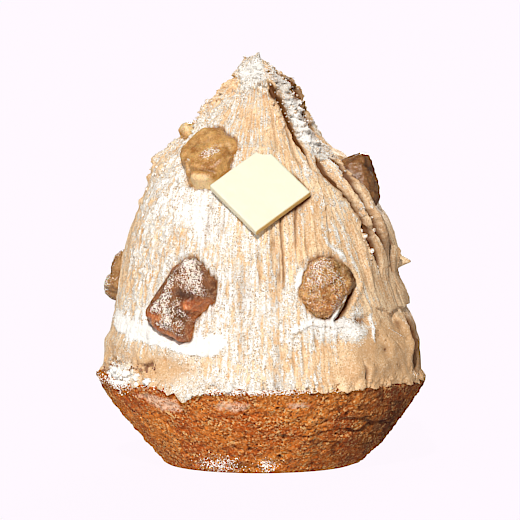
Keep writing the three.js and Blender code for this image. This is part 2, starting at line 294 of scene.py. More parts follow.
SHELVES = (  # (angle, z) pairs along the lower edge of a shelf of cream, its depth, its reach and its sugar
    (
        ((-82, 34.6), (-66, 33), (-50, 31.8), (-36, 31.2), (-28, 29.5), (-17, 29.3), (-11, 32.5)),
        0.15, 3.4, 1.8,
    ),
    (((9, 33.5), (18, 36), (27, 36.2), (37, 36), (43, 33)), 0.4, 1.6, 0.9),
    (((48, 40.4), (57, 39.1), (64, 38.9), (71, 39), (80, 39.6), (92, 40.5)), 0.8, 4, 0.1),
    (((-34, 90.4), (-10, 91.4), (6, 92.2), (16, 91.4)), 0.6, 2.2, 0.5),
    (((24, 64.8), (33, 64), (42, 64.4)), 0.4, 1.6, 0.2),
    (((118, 37), (140, 34.6), (165, 35.6), (190, 33.6)), 0.5, 3.2, 0.6),
    (((-140, 35), (-120, 33), (-100, 34.5)), 0.5, 3.2, 0.6),
)
RIDGES = (  # (z, angle) pairs along a thin raised line, its lift, its width and its sugar
    (((40, 47.6), (31.5, 46.8)), 0.35, 0.45, 2.0),
    (((96, 40), (91, 39), (86, 39), (80, 40), (75, 41)), 1.2, 1.9, 0.7),
    (((76, 47), (71.6, 49), (66.9, 51.2), (62.6, 54.4), (57, 57.5)), 1.5, 1.2, 0.3),
    (((69, 60), (63.7, 62), (58.8, 64.5), (54, 66.5)), 1.5, 1.1, 0.25),
    (((64, 71), (58, 74), (52, 77), (48, 80)), 1.0, 1.2, 0.2),
    (((60, 46.5), (52, 49), (44, 52)), 0.7, 1.0, 0.2),
    (((66, 36), (55, 41)), 0.2, 0.6, 0.8),
    (((58, 26.4), (55, 31), (52, 38)), 0.2, 0.7, 1.8),
    (((45.3, 38.2), (42.2, 33.7), (39.8, 31.2), (37.8, 28.7)), 1.4, 0.6, 1.3),
    (((51.3, 21.8), (50.1, 19.2), (48, 16.7), (45.2, 15.7)), 0.5, 0.75, 1.4),
    (((38, 66), (34.4, 68.5), (29.8, 68), (22, 67)), 0.9, 1.5, 0.1),
    (((35.5, 54.7), (32.2, 63.7)), 0.4, 0.35, 2.2),
)
NUBS = (  # angle, z, lift and radius of single lumps
    (-86, 86.5, 1.3, 1.3), (-76, 88.5, 1.0, 1.2), (-84, 74.6, 1.5, 1.5), (-89, 69.6, 1.3, 1.2),
    (-80, 77.8, 1.1, 1.1), (-70, 72, 1.0, 1.2), (-86, 64, 0.8, 1.0), (60, 89, 1.4, 1.2),
    (74, 83.5, 1.3, 1.4), (82, 78, 1.2, 1.2), (66, 92, 1.2, 1.0), (-88, 94, -1.5, 1.4),
    (-80, 98, 0.7, 0.9), (-86, 90.6, 0.5, 1.0), (78, 97.6, 0.6, 0.9), (84, 93.6, 0.6, 1.0),
    (-60, 24, 1.2, 2.0), (-53, 24.6, 0.6, 1.2), (-66, 23, 0.8, 1.4), (150, 97, 1.0, 1.1),
    (36, 25.4, 1.1, 2.2), (42.6, 25.6, 0.7, 1.6), (-44, 33.2, 0.9, 2.2), (-38.5, 31.6, 1.1, 2.2),
    (-33, 30.2, 0.9, 2.0), (52, 30, -0.6, 1.8), (50, 26.4, 0.5, 1.5), (60, 25, -0.5, 1.4),
    (64, 36, -1.0, 2.0), (41, 37.2, -1.3, 1.0), (44, 37, -1.2, 1.0), (46.6, 37.2, -0.8, 0.9),
    (86.25, 49.3, 1.4, 1.1),
)
ROUGH = (  # angle, z, width, height and amount of crumbly stretches
    (58, 87, 42, 9, 1.0), (-72, 82, 36, 10, 0.8), (-45, 63, 30, 12, 0.5), (-62, 45, 20, 12, 0.3),
    (170, 82, 70, 10, 0.7), (-62, 24, 16, 3, 0.9), (57, 77, 18, 7, 0.85), (42, 87, 22, 10, 1.0),
    (57, 62, 14, 9, 0.3), (-13, 75.5, 6, 5, 0.6),
)
PEAK_ROUGH = (86, 93)
GAPS = ((64, 87, 22, 9, 0.6), (60, 74, 14, 5, 0.25))  # where dark gaps open between the crumbs, painted as shade
LIT_FOLDS = (72, 58, 12, 14, 0.4)  # where light gets into the grooves
SHADED = (  # deep places that little light reaches, as spots
    (74, 90, 24, 9, 0.8), (28, 96.5, 14, 2.4, 0.55), (82, 30, 9, 9, 0.6), (67, 57, 8, 8, 0.5),
    (43, 36.9, 3.6, 0.8, 0.6), (78, 46.5, 9, 3, 0.4),
)

# Powdered sugar on the mound
SUGAR = (  # angle, z, width, height and amount
    (40, 86, 13, 8, 0.95), (-8, 95.5, 30, 4.5, 0.8), (55, 77, 16, 6, 0.8), (60, 56, 6, 5, 0.3),
    (-72, 84, 28, 9, 0.2), (-27, 62.5, 14, 7, 0.6), (-52, 67, 22, 9, 0.2), (-48, 37, 16, 4, 0.3),
    (-2, 34, 24, 15, 0.12), (0, 22.8, 34, 2.2, 0.4), (26, 37, 12, 3, 0.4), (38, 35, 9, 4, 0.75),
    (30, 33.4, 11, 3.4, 0.5), (17, 45, 6, 8, 0.2), (-62, 24, 12, 3, 1.0), (69, 23, 4, 0.9, 0.8),
    (150, 82, 40, 9, 0.4), (-150, 66, 34, 12, 0.4), (120, 60, 12, 9, 0.3),
)
PEAK_SUGAR = (92, 98, 0.4)  # the peak grows white between these heights, by this much
POWDER = (  # fine powder: angle, z, width, height and amount
    (-8, 40, 42, 34, 0.74), (-62, 58, 34, 40, 0.5), (0, 88, 70, 18, 0.34), (60, 62, 34, 26, 0.06),
    (38, 60, 10, 9, 0.2), (180, 60, 70, 40, 0.55),
)
BARE = (  # tan stretches that the sugar missed: angle, z, width, height and amount
    (-45, 25.5, 26, 4, 0.4), (58, 27, 36, 9, 0.6), (78, 54, 16, 14, 0.25), (-4, 87, 18, 4, 0.15),
    (16, 96.3, 12, 2.6, 0.8), (-78, 92, 24, 4.5, 0.5), (84, 90, 16, 12, 0.6), (-86, 56, 9, 9, 0.35),
    (28, 55, 4, 3, 0.4), (14, 57, 7, 6, 0.35), (-37, 57, 5, 3.5, 0.5),
)


def columns(count, closeness):
    """Angles round the axis, closer together at the front."""
    fine = np.linspace(-180, 180, FINE_STEPS)
    turned = np.radians(fine) + closeness * np.sin(np.radians(fine))
    return np.interp(np.linspace(turned[0], turned[-1], count + 1)[:-1], turned, fine)


def rows(count):
    """Heights evenly spaced along the mound's slope."""
    z = np.linspace(RIM_Z, HEIGHT, SLOPE_STEPS)
    along = np.concatenate([[0], np.cumsum(np.hypot(np.diff(z), np.diff(mound_profile(z))))])
    return np.interp(np.linspace(0, along[-1], count + 1)[:-1], along, z)


def round_skin(angle, spacing):
    """Noise places on a circle, so that a pattern closes on itself."""
    turn = np.radians(angle)
    return np.cos(turn) * SKIN_RADIUS / spacing, np.sin(turn) * SKIN_RADIUS / spacing


def on_circle(angle, radius, z):
    turn = np.radians(angle)
    return radius * np.sin(turn), -radius * np.cos(turn), z


SHEAR = 0.5  # degrees that the streaks on the right turn for each millimetre of height
SHEAR_Z = 60
SHEARED = (28, 48, 96, 130)  # angles where the turning sets in, is full, ebbs and ends


def sheared(angle, z):
    turn = turn_between(0, angle)
    share = smoothstep(turn, *SHEARED[:2]) * (1 - smoothstep(turn, *SHEARED[2:]))
    return angle + SHEAR * share * (z - SHEAR_Z)


def angle_of(points):
    return np.degrees(np.arctan2(points[:, 0], -points[:, 1]))


def smooth_share(angle, z):
    """Where the cream low down was wiped smooth."""
    total = 0
    for first, last, top in SMOOTH_BANDS:
        middle, half = (first + last) / 2, (last - first) / 2
        across = 1 - smoothstep(np.abs(turn_between(middle, angle)), half - 12, half)
        uneven = 2.6 * layered(angle / 8, z / 9, 0.5, 31)
        total = total + across * (1 - smoothstep(z + uneven, top - 1.2, top + 1.2))
    return np.clip(total, 0, 1)


def streak_relief(angle, z):
    """Fine grooves along the slope, from 0 where it is flat down to less than 0."""
    total = 0
    for spacing, depth, seed in STREAKS:
        swing = np.abs(noise(*round_skin(angle, spacing), z / STREAK_LENGTH, seed))
        strength = 0.6 + 0.4 * noise(*round_skin(angle, 5 * spacing), z / 9, seed + 5)
        total = total - depth * strength * (1 - smoothstep(swing, 0, STREAK_EDGE))
    return total


def seam(path, width, angle, z, radius):
    """Millimetres sideways from a path of (z, angle) pairs, and how much of the path is at this height."""
    heights, angles = zip(*sorted(path))
    off = np.radians(turn_between(np.interp(z, heights, angles), angle)) * radius
    ragged = layered(z / 1.4, np.radians(angle) * radius / 1.4, 0.5, 42, 2)
    off = off + width * (0.4 * noise(z / 3, angles[0], 0.5, 41) + 0.3 * ragged)
    alive = smoothstep(z, heights[0] - 1.5, heights[0] + max(1.5, 0.2 * (heights[-1] - heights[0])))
    return off, alive * (1 - smoothstep(z, heights[-1] - 3.5, heights[-1] + 1))


def shelf_relief(shelf, angle, z):
    """How far a shelf stands out, how far its edge hangs, and how much sugar lies on it."""
    path, depth, reach, sugar = shelf
    angles, heights = (np.array(v, float) for v in zip(*path))
    middle = (angles[0] + angles[-1]) / 2
    turn = turn_between(middle, angle)
    edge = np.interp(turn, angles - middle, heights) + 0.8 * layered(angle / 5, 0.3, heights[0], 51, 3)
    half = (angles[-1] - angles[0]) / 2
    present = 1 - smoothstep(np.abs(turn), half - 5, half)
    above = z - edge
    shape = smoothstep(above, -0.3, 0.3) * np.exp(-np.maximum(above, 0) / reach)
    under = bell((above + 1) / 0.9)
    hang = bell((above - 0.35) / 0.5)
    cover = sugar * bell((above - 0.55 * reach) / (0.62 * reach)) * smoothstep(above, -0.9, 0.7)
    return present * depth * (shape - 0.3 * under), present * depth * hang, present * cover


def distance_to(shape, points, reach):
    """Distance from points to a skin of corners and faces in millimetres, and 'reach' where it is further."""
    corners, faces = shape
    found = np.full(len(points), float(reach))
    near = np.all((points > corners.min(axis=0) - reach) & (points < corners.max(axis=0) + reach), axis=1)
    tree = BVHTree.FromPolygons(corners.tolist(), faces)
    for i in np.nonzero(near)[0]:
        hit = tree.find_nearest(Vector(points[i]), reach)
        if hit[0] is not None:
            found[i] = hit[3]
    return found


def crumb_relief(place, z):
    """Crumbs and crags, coarser near the peak."""
    crumb = 1 - np.minimum(nearest_cell(*scaled(place, CRUMB_CELL), 61)[0] / 0.62, 1)
    craggy = 1 - 2 * np.abs(noise(*scaled(place, CRAG_SIZE), 67))
    crumbly = crumb + 0.9 * layered(*scaled(place, CRUMB_CELL), 65, 3, 0.6) + 0.7 * craggy - 0.8
    return crumbly * (1 + 0.35 * smoothstep(z, *COARSER))


def lip_marks(angle, z, radius):
    """How far the lips lean over the grooves beside them, and the shade there."""
    over = np.zeros(angle.shape)
    shade = np.zeros(angle.shape)
    for stroke in STROKES:
        past, alive = past_lip(stroke, angle, z)
        gone = np.radians(past) * radius
        over += alive * stroke[4] / 2 * bell((gone + 0.5) / 0.9) * (1 - 0.85 * smoothstep(z, *UPRIGHT))
        shade += alive * bell((gone - 1.3) / 1.0)
    return over, shade


def tip_drop(angle, z, radius):
    """How far the tip leans and crumbles down."""
    lean = smoothstep(z, *TIP_LEAN[:2])
    sunk = lean * TIP_LEAN[3] * (0.5 + 0.5 * np.cos(np.radians(turn_between(TIP_LEAN[2], angle))))
    lumpy = layered(*scaled(on_circle(angle, radius, z), TIP_LUMPS[0]), 77, 2)
    return sunk + lean * TIP_LUMPS[1] * np.clip(0.5 + lumpy, 0, 1.4)


def mound_skin(angle, z):
    """The mound's radius, angle and height everywhere, with what its material needs to know."""
    profile = mound_profile(z)
    ragged = angle + LIP_RAGGED * layered(z / 4, angle / 40, 0.5, 21, 3)
    lips = [stroke_lift(stroke, ragged, z, profile, LIP_WIDTH) for stroke in STROKES]
    form = np.max(lips, axis=0) + band_lift(angle, z) + spots(angle, z, HEAPS) + spike_lift(angle, z)
    radius = profile + form * smoothstep(HEIGHT - z, 0, 2 * LIP_FADE)
    place = on_circle(angle, radius, z)
    slim = np.minimum(radius / SLIM_RADIUS, 1)
    smooth = smooth_share(angle, z)
    rough = np.clip(spots(angle, z, ROUGH) + smoothstep(z, *PEAK_ROUGH), 0, 1)

    front = FRONT[2] + (1 - FRONT[2]) * bell_round(angle, *FRONT[:2])
    streaks = streak_relief(sheared(angle, z), z) * (1 - 0.95 * smooth) * (1 - 0.6 * rough) * slim * front
    grooves, ridges, shelves, hang, lumps = 0, 0, 0, 0, 0
    for at, height, lift, size in NUBS:
        sideways = np.radians(turn_between(at, angle)) * radius
        lumps = lumps + lift * bell(np.hypot(sideways, z - height) / size)
    sugar = spots(angle, z, SUGAR) + PEAK_SUGAR[2] * smoothstep(z, *PEAK_SUGAR[:2])
    for path, depth, width in GROOVES:
        off, alive = seam(path, width, angle, z, radius)
        grooves = grooves - depth * alive * bell(off / (width * (0.3 + 0.7 * alive)))
    for path, lift, width, white in RIDGES:
        off, alive = seam(path, width, angle, z, radius)
        shape = alive * bell(off / width)
        ridges = ridges + lift * shape
        sugar = sugar + white * shape * (0.6 + 0.6 * noise(z / 1.4, path[0][1], 0.5, 43))
    for shelf in SHELVES:
        out, over, cover = shelf_relief(shelf, angle, z)
        shelves = shelves + out
        hang = hang + over
        sugar = np.maximum(sugar, cover)
    sugar = np.clip(sugar, 0, 1.2)
    powder = spots(angle, z, POWDER) - spots(angle, z, BARE)

    crumbly = crumb_relief(place, z)
    gentle = layered(*scaled(place, 8), 71, 2) + 1.1 * smooth * layered(*scaled(place, 5), 73, 2, 0.5)
    pores = smooth * np.clip(1 - nearest_cell(*scaled(place, PORE_CELL), 75)[0] / PORE_SIZE, 0, 1)
    clots = np.maximum(layered(*scaled(place, CLOT_SIZE), 81, 2), 0)
    crust = 1 - smoothstep(nearest_cell(*scaled(place, CRUST_CELL), 85)[0] + 0.2 * clots, 0.4, 0.62)
    thick = np.clip(1.6 * (sugar + powder) - 0.9, 0, 1)
    heaped = thick * (0.25 * clots + 0.2 * crust) * slim
    open_groove = np.clip(1 + grooves / 0.8, 0, 1)
    relief = streaks + grooves + ridges + shelves + lumps
    relief = relief + rough * (0.65 + 0.35 * slim) * crumbly * open_groove
    relief = relief + 0.32 * gentle - 0.35 * pores + heaped

    over, shade = lip_marks(ragged, z, radius)
    radius = np.maximum(radius + relief, 0.2)
    leaning = angle + np.degrees(OVERHANG * over / np.maximum(radius, 3))
    # Painted shade: dark in the deep grooves, the streaks' grooves, beside the lips, in the pores, in the
    # gaps between crumbs, between heaped sugar, in the shaded spots and in the dents
    deep = np.clip(-grooves / DEEP, 0, 1)
    gaps = spots(angle, z, GAPS) * (1 - smoothstep(crumbly, -0.5, 0.2))
    painted_shading = np.clip(-streaks / 1.2, 0, 0.4) + deep * (1 - patch(angle, z, LIT_FOLDS))
    painted_shading = painted_shading + 0.35 * shade + 0.9 * pores
    painted_shading = painted_shading + 0.08 * thick * (1 - crust) + gaps + spots(angle, z, SHADED)
    painted_shading = painted_shading + np.clip(-0.8 * lumps, 0, 1) * (1 - slim + smooth)
    sugar = sugar - deep
    dust = sugar + powder + 0.12 * clots
    looks = {"dust": dust, "painted_shade": np.clip(painted_shading, 0, 1), "smooth": smooth, "heavy": sugar}
    return radius, leaning, z - SHELF_HANG * hang - tip_drop(angle, z, radius), looks


# The foot of the mound, where cream laps over the rim of the pastry

LAP = 0.9
LAP_FADE = 1.1  # the height over which the lap fades above the rim
BARE_FADE = 3  # the same for the stretches that stay back
EDGE_LUMP = (2.6, 2.2)  # width and height of the lumps along the ragged edge
HOLLOW_LUMP = (1.1, 0.8)  # and in the hollows
HANGING_Z = (0.6, 2.4)  # the heights above the rim between which the cream stops hanging
HANGING_DROP = (0.3, 0.9)  # the drops between which it starts to hang
DRIPS = (  # angle, drop and width
    (-27, 2.6, 3.2), (-20, 0.8, 2.4), (-33, 1.4, 1.6), (12, 0.1, 24), (44, 0.2, 14), (130, 1.4, 4),
    (-150, 1.8, 3),
)
DROP = 0.8  # how far the ragged edge hangs
HANG_GAP = 0.3  # how far the hanging cream stands off the pastry
FLARE = 0.79  # how much the pastry narrows for each millimetre below its rim
BARE_RIM = ((-74, 24, 1.9), (94, 9, 1.4))  # angle, width and how far the cream stays back there
HOLLOWS = (  # angle, z, width, height and depth
    (-49, 25.4, 2.2, 1, 0.9), (-45, 26, 2.4, 0.9, 0.9), (-42.4, 26.7, 1.6, 0.7, 0.7),
    (-36.5, 27.8, 0.4, 0.8, 0.9), (-66, 26, 6, 1, 0.8), (-74, 29, 3, 2, 0.5),
)


def rim_waver(angle):
    return RIM_UNEVEN * sum(share * np.cos(n * np.radians(angle) + start) for n, share, start in RIM_WAVES)


def lap_over_rim(angle, z, radius, looks):
    """Lets the mound's foot hang over the rim, and opens hollows above it."""
    above = z - RIM_Z
    rim_x, rim_y, _ = on_circle(angle, RIM_RADIUS, z)
    uneven = layered(*scaled((rim_x, rim_y), EDGE_LUMP[0]), z / EDGE_LUMP[1], 91, 4, 0.6)
    uneven = np.clip(0.5 + 0.75 * uneven, 0, 1.6)
    bare = sum(bell_round(angle, at, wide) for at, wide, _ in BARE_RIM)
    lumpy = layered(*scaled((rim_x, rim_y), HOLLOW_LUMP[0]), z / HOLLOW_LUMP[1], 95, 3)
    hollow = spots(angle, z, HOLLOWS) * np.clip(0.6 + 1.3 * lumpy, 0, 1.4)
    near = np.exp(-np.maximum(above, 0) / LAP_FADE)
    kept_back = sum(back * bell_round(angle, at, wide) for at, wide, back in BARE_RIM)
    kept_back = kept_back * np.exp(-np.maximum(above, 0) / BARE_FADE)
    radius = radius + LAP * uneven * near * (1 - bare) - kept_back - hollow
    drop = sum(depth * bell_round(angle, at, wide) for at, depth, wide in DRIPS) + DROP * uneven
    fallen = z - drop * near * (1 - bare)
    outside = RIM_RADIUS - FLARE * np.maximum(RIM_Z - RIM_ROUNDING - fallen, 0) + rim_waver(angle) + HANG_GAP
    hanging = (1 - bare) * (1 - smoothstep(above, *HANGING_Z)) * smoothstep(drop, *HANGING_DROP)
    radius = radius + np.maximum(outside - radius, 0) * hanging
    # painted shade in the hollows above the rim
    looks["painted_shade"] = np.clip(looks["painted_shade"] + 0.7 * hollow, 0, 1)
    looks["dust"] = looks["dust"] - 0.5 * hollow
    return radius, fallen


SWELLS = (  # a flap of cream over the plaque's top corner and a dent below the spike, as spots
    (2.5, 77.5, 8, 1.6, 2.4), (88, 47, 22, 3.4, -2.2),
)


# Meshes from arrays

def grid_faces(row_count, column_count):
    """Quads of a skin that closes on itself, facing outwards."""
    r, c = np.meshgrid(np.arange(row_count - 1), np.arange(column_count), indexing="ij")
    right = (c + 1) % column_count
    low, high = r * column_count, (r + 1) * column_count
    corners = (low + c, low + right, high + right, high + c)
    return np.stack([k.ravel() for k in corners], axis=1)


def grid_normals(points):
    """Outward normals of a skin of rows by columns of points that closes on itself."""
    across = np.roll(points, -1, axis=1) - np.roll(points, 1, axis=1)
    normals = np.cross(across, np.gradient(points, axis=0))
    return normals / np.maximum(np.linalg.norm(normals, axis=2, keepdims=True), 1e-9)


def fan(ring, tip):
    return np.stack([ring, np.roll(ring, -1), np.full(len(ring), tip)], axis=1)


def make_piece(name, points, face_sets, material, attributes=None, normals=None):
    """A smooth-shaded mesh object from points in millimetres, riding on the object's one body."""
    mesh = bpy.data.meshes.new(name)
    faces = [face for group in face_sets for face in group.tolist()]
    mesh.from_pydata((np.asarray(points) * MM).tolist(), [], faces)
    mesh.shade_smooth()
    for key, values in (attributes or {}).items():
        values = np.asarray(values, np.float32)
        kind = "FLOAT_VECTOR" if values.ndim == 2 else "FLOAT"
        data = mesh.attributes.new(key, kind, "POINT").data
        data.foreach_set("vector" if values.ndim == 2 else "value", values.ravel())
    if normals is not None:
        mesh.normals_split_custom_set_from_vertices(normals.tolist())
    mesh.materials.append(material)
    piece = bpy.data.objects.new(name, mesh)
    bpy.context.scene.collection.objects.link(piece)
    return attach(piece, "root")


def stand_for(piece, node):
    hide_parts(node)


# Materials

def tint(red, green, blue):
    """A colour given as it shows on a screen, from 0 to 255, in linear light."""
    def linear(value):
        value /= 255
        return value / 12.92 if value <= 0.04045 else ((value + 0.055) / 1.055) ** 2.4
    return (linear(red), linear(green), linear(blue), 1)


class Nodes:
    """A tree of nodes."""

    def __init__(self, tree):
        self.tree = tree

    def put(self, socket, value):
        if isinstance(value, bpy.types.NodeSocket):
            self.tree.links.new(value, socket)
        else:
            socket.default_value = value

    def add(self, kind, inputs=None, **properties):
        node = self.tree.nodes.new(kind)
        for key, value in properties.items():
            setattr(node, key, value)
        for key, value in (inputs or {}).items():
            self.put(node.inputs[key], value)
        return node


class Surface(Nodes):
    """A material, with a short call for each kind of node that it uses."""

    def __init__(self, name, **settings):
        self.material = bpy.data.materials.new(name)
        self.material.use_nodes = True
        super().__init__(self.material.node_tree)
        self.shader = self.tree.nodes["Principled BSDF"]
        for socket, value in settings.items():
            self.set(socket.replace("_", " "), value)
        self.place = self.add("ShaderNodeTexCoord").outputs["Object"]
        self.colour = None

    def set(self, socket, value):
        self.put(self.shader.inputs[socket], value)

    def turn(self, angles):
        """Turns the patterns that follow off the axes."""
        inputs = {"Vector": self.place, "Rotation": angles}
        self.place = self.add("ShaderNodeMapping", inputs).outputs["Vector"]

    def attribute(self, name, output="Fac"):
        return self.add("ShaderNodeAttribute", attribute_name=name).outputs[output]

    def noise(self, size, detail=2.0, place=None, roughness=0.5):
        """Noise from 0 to 1 with lumps of a size in millimetres."""
        inputs = {"Vector": place or self.place, "Scale": 1 / (size * MM)}
        inputs.update(Detail=detail, Roughness=roughness)
        return self.add("ShaderNodeTexNoise", inputs).outputs["Fac"]

    def cells(self, size):
        """A random value for each of the cells of a size in millimetres."""
        inputs = {"Vector": self.place, "Scale": 1 / (size * MM)}
        return self.add("ShaderNodeTexVoronoi", inputs).outputs["Color"]

    def math(self, operation, a, b=0.0):
        return self.add("ShaderNodeMath", {0: a, 1: b}, operation=operation).outputs[0]

    def times(self, a, b):
        return self.math("MULTIPLY", a, b)

    def total(self, *values):
        result = values[0]
        for value in values[1:]:
            result = self.math("ADD", result, value)
        return result

    def swing(self, value, amount):
        """A value from 0 to 1, as a swing of an amount to both sides of 0."""
        return self.times(self.math("SUBTRACT", value, 0.5), amount)

    def span(self, value, low, high, start=0.0, end=1.0):
        """Start below low, end above high, and a smooth step between."""
        inputs = {"Value": value, "From Min": low, "From Max": high, "To Min": start, "To Max": end}
        return self.add("ShaderNodeMapRange", inputs, interpolation_type="SMOOTHSTEP").outputs["Result"]

    def mix(self, share, a, b):
        node = self.add("ShaderNodeMix", data_type="RGBA")
        self.put(node.inputs[0], share)
        self.put(node.inputs[6], a)
        self.put(node.inputs[7], b)
        return node.outputs[2]

    def paint(self, share, colour):
        """Lays a share of a colour over the surface's colour so far."""
        self.colour = self.mix(share, self.colour, colour)
        self.set("Base Color", self.colour)

    def bump(self, height, depth):
        """Relief of a depth in millimetres."""
        inputs = {"Height": height, "Distance": depth * MM, "Strength": 1.0}
        self.set("Normal", self.add("ShaderNodeBump", inputs).outputs["Normal"])


def dusting(surface, dust):
    """How far powdered sugar covers each point: single grains, the more of them the more dust there is."""
    clumps = surface.swing(surface.noise(1.1, 4.0), 0.5)
    grain = surface.swing(surface.cells(0.23), 1.3)
    cover = surface.span(surface.total(dust, clumps, grain), 0.42, 0.62)
    return surface.times(cover, surface.span(dust, 0.02, 0.2))


def gritty(surface, size, dark, light, amount):
    """Breaks the colour into grains of a size in millimetres, some of them darker and some lighter."""
    grit = surface.cells(size)
    surface.paint(surface.span(grit, 0.15, 0.4, amount, 0.0), dark)
    surface.paint(surface.span(grit, 0.6, 0.85, 0.0, amount), light)


SUGAR_WHITE = tint(251, 248, 243)
POWDERED = tint(237, 224, 204)


def cream_material():
    surface = Surface("chestnut_cream")
    along = surface.attribute("skin", "Vector")
    painted_shading = surface.attribute("painted_shade")
    rugged = surface.math("SUBTRACT", 1.0, surface.attribute("smooth"))
    broad = surface.span(surface.noise(6, 4.0), 0.3, 0.7)
    surface.colour = surface.mix(broad, tint(230, 189, 143), tint(248, 216, 174))
    fine = surface.span(surface.noise(0.5, 3.0, along), 0.46, 0.6, 0.0, 0.6)
    surface.paint(surface.times(fine, rugged), tint(206, 156, 108))
    wiped = surface.mix(surface.noise(4, 5.0), tint(200, 150, 102), tint(228, 190, 144))
    surface.paint(surface.attribute("smooth"), wiped)
    grit = surface.span(rugged, 0.0, 1.0, 0.28, 0.45)
    gritty(surface, 0.27, tint(172, 124, 78), tint(252, 240, 214), grit)
    streaks = surface.swing(surface.noise(0.85, 4.0, along), 2.4)
    clumps = surface.swing(surface.noise(1.0, 5.0), 1.1)
    clouds = surface.swing(surface.noise(5, 2.0), 0.9)
    swings = surface.times(surface.total(streaks, surface.total(clumps, clouds)), rugged)
    cover = surface.total(surface.attribute("dust"), swings, surface.times(painted_shading, -0.45))
    surface.paint(surface.span(cover, 0.25, 0.75), POWDERED)
    sugar = surface.span(surface.total(cover, surface.swing(surface.cells(0.3), 1.0)), 0.68, 0.82)
    surface.paint(sugar, SUGAR_WHITE)
    # small dark specks in the sugar: painted shade between the grains
    clusters = surface.span(surface.noise(2.4, 3.0), 0.32, 0.52)
    shade_specks = surface.times(surface.span(surface.cells(0.22), 0.2, 0.36, 0.8, 0.0), clusters)
    shade_specks = surface.times(shade_specks, surface.span(cover, 0.15, 0.5))
    shade_specks = surface.times(shade_specks, surface.span(cover, 1.0, 1.5, 1.0, 0.2))
    surface.paint(shade_specks, tint(164, 130, 92))
    # painted shade in the grooves, seams, pores and gaps
    surface.paint(surface.span(painted_shading, 0.1, 1.0), tint(112, 70, 38))
    surface.set("Roughness", surface.span(sugar, 0, 1, 0.6, 0.95))
    surface.set("Specular IOR Level", 0.3)
    height = surface.total(surface.times(surface.noise(0.5, 4.0, along), 0.5), sugar)
    surface.bump(height, 0.14)
    return surface.material


def pastry_material():
    surface = Surface("pastry", Roughness=0.8)
    surface.turn((0.7, 0.5, 0.9))
    surface.set("Specular IOR Level", 0.3)
    broad = surface.span(surface.noise(9, 3.0), 0.38, 0.62)
    surface.colour = surface.mix(broad, tint(200, 92, 16), tint(236, 132, 42))
    toast_and_shade = surface.attribute("toast_and_shade")
    # darker crust, and painted shade on the pastry's right side
    surface.paint(toast_and_shade, tint(94, 45, 16))
    grain = surface.noise(0.8, 5.0, roughness=0.7)
    patchy = surface.span(surface.noise(3.0, 3.0), 0.38, 0.62, 0.45, 1.1)
    lively = surface.times(surface.span(toast_and_shade, 0.1, 0.9, 0.8, 0.35), patchy)
    surface.paint(surface.span(grain, 0.52, 0.66, 0.0, lively), tint(248, 184, 104))
    surface.paint(surface.span(grain, 0.34, 0.47, 0.8, 0.0), tint(120, 50, 10))
    gritty(surface, 0.42, tint(100, 40, 8), tint(255, 212, 146), lively)
    broken = surface.span(surface.cells(0.34), 0.1, 0.6, 0.1, 1.0)
    smear = surface.times(surface.attribute("smear"), broken)
    surface.paint(smear, tint(255, 208, 176))
    # painted shade in the pits, in the cracks and between the crumbs
    surface.paint(surface.attribute("painted_shade"), tint(76, 32, 10))
    sugar = dusting(surface, surface.attribute("dust"))
    surface.paint(sugar, SUGAR_WHITE)
    surface.bump(surface.total(surface.times(grain, 1.4), sugar), 0.33)
    return surface.material


def chestnut_material():
    surface = Surface("candied_chestnut")
    mottle = surface.span(surface.noise(2.2, 5.0), 0.3, 0.7)
    dark = surface.mix(mottle, tint(80, 38, 20), tint(146, 84, 50))
    amber = surface.mix(mottle, tint(164, 110, 50), tint(216, 168, 102))
    surface.colour = surface.mix(surface.attribute("amber"), dark, amber)
    surface.paint(surface.attribute("pale"), tint(232, 198, 146))
    glow = surface.mix(mottle, tint(170, 82, 36), tint(214, 126, 66))
    surface.paint(surface.attribute("glow"), glow)
    gritty(surface, 0.3, tint(106, 58, 26), tint(242, 206, 156), surface.attribute("grain"))
    # painted shade in the valleys, on the dim marks and over chestnuts that sit in shade
    surface.paint(surface.attribute("painted_shade"), tint(58, 22, 10))
    sugar = dusting(surface, surface.attribute("dust"))
    surface.paint(sugar, tint(240, 228, 217))
    surface.set("Roughness", surface.span(sugar, 0, 1, 0.38, 0.95))
    surface.set("Subsurface Weight", 0.3)
    surface.set("Subsurface Radius", (1.0, 0.45, 0.2))
    surface.set("Subsurface Scale", 0.0015)
    surface.bump(surface.total(surface.noise(0.9, 4.0), sugar), 0.28)
    return surface.material


def chocolate_material():
    surface = Surface("white_chocolate", Roughness=0.42)
    surface.colour = surface.mix(surface.noise(6, 3.0), tint(228, 227, 203), tint(234, 232, 210))
    # the sides golden: painted shade with a glow of light through the chocolate, most on the sides facing
    # right, away from the key light
    surface.paint(surface.attribute("side"), tint(228, 186, 108))
    surface.set("Subsurface Weight", 0.15)
    surface.set("Subsurface Radius", (1.0, 0.75, 0.35))
    surface.set("Subsurface Scale", 0.0012)
    surface.bump(surface.noise(2.4, 3.0), 0.04)
    return surface.material


def sugar_material(name, painted_glow):
    surface = Surface(name, Roughness=0.9)
    # the sugar glows a little, as painted light, so that it stays white where it lies in shade
    surface.set("Emission Color", SUGAR_WHITE)
    surface.set("Emission Strength", painted_glow)
    surface.set("Base Color", surface.mix(surface.noise(1.0), tint(240, 236, 230), SUGAR_WHITE))
    return surface.material


def crust_material():
    surface = Surface("crust_crumb", Roughness=0.8)
    surface.set("Base Color", surface.mix(surface.noise(1.0), tint(116, 76, 56), tint(184, 134, 104)))
    return surface.material


def crumb_material():
    surface = Surface("cream_crumb", Roughness=0.7)
    surface.colour = surface.mix(surface.noise(1.5, 3.0), tint(196, 152, 110), tint(222, 192, 156))
    surface.paint(dusting(surface, 0.6), SUGAR_WHITE)
    surface.bump(surface.noise(0.5, 3.0), 0.1)
    return surface.material


# Pieces

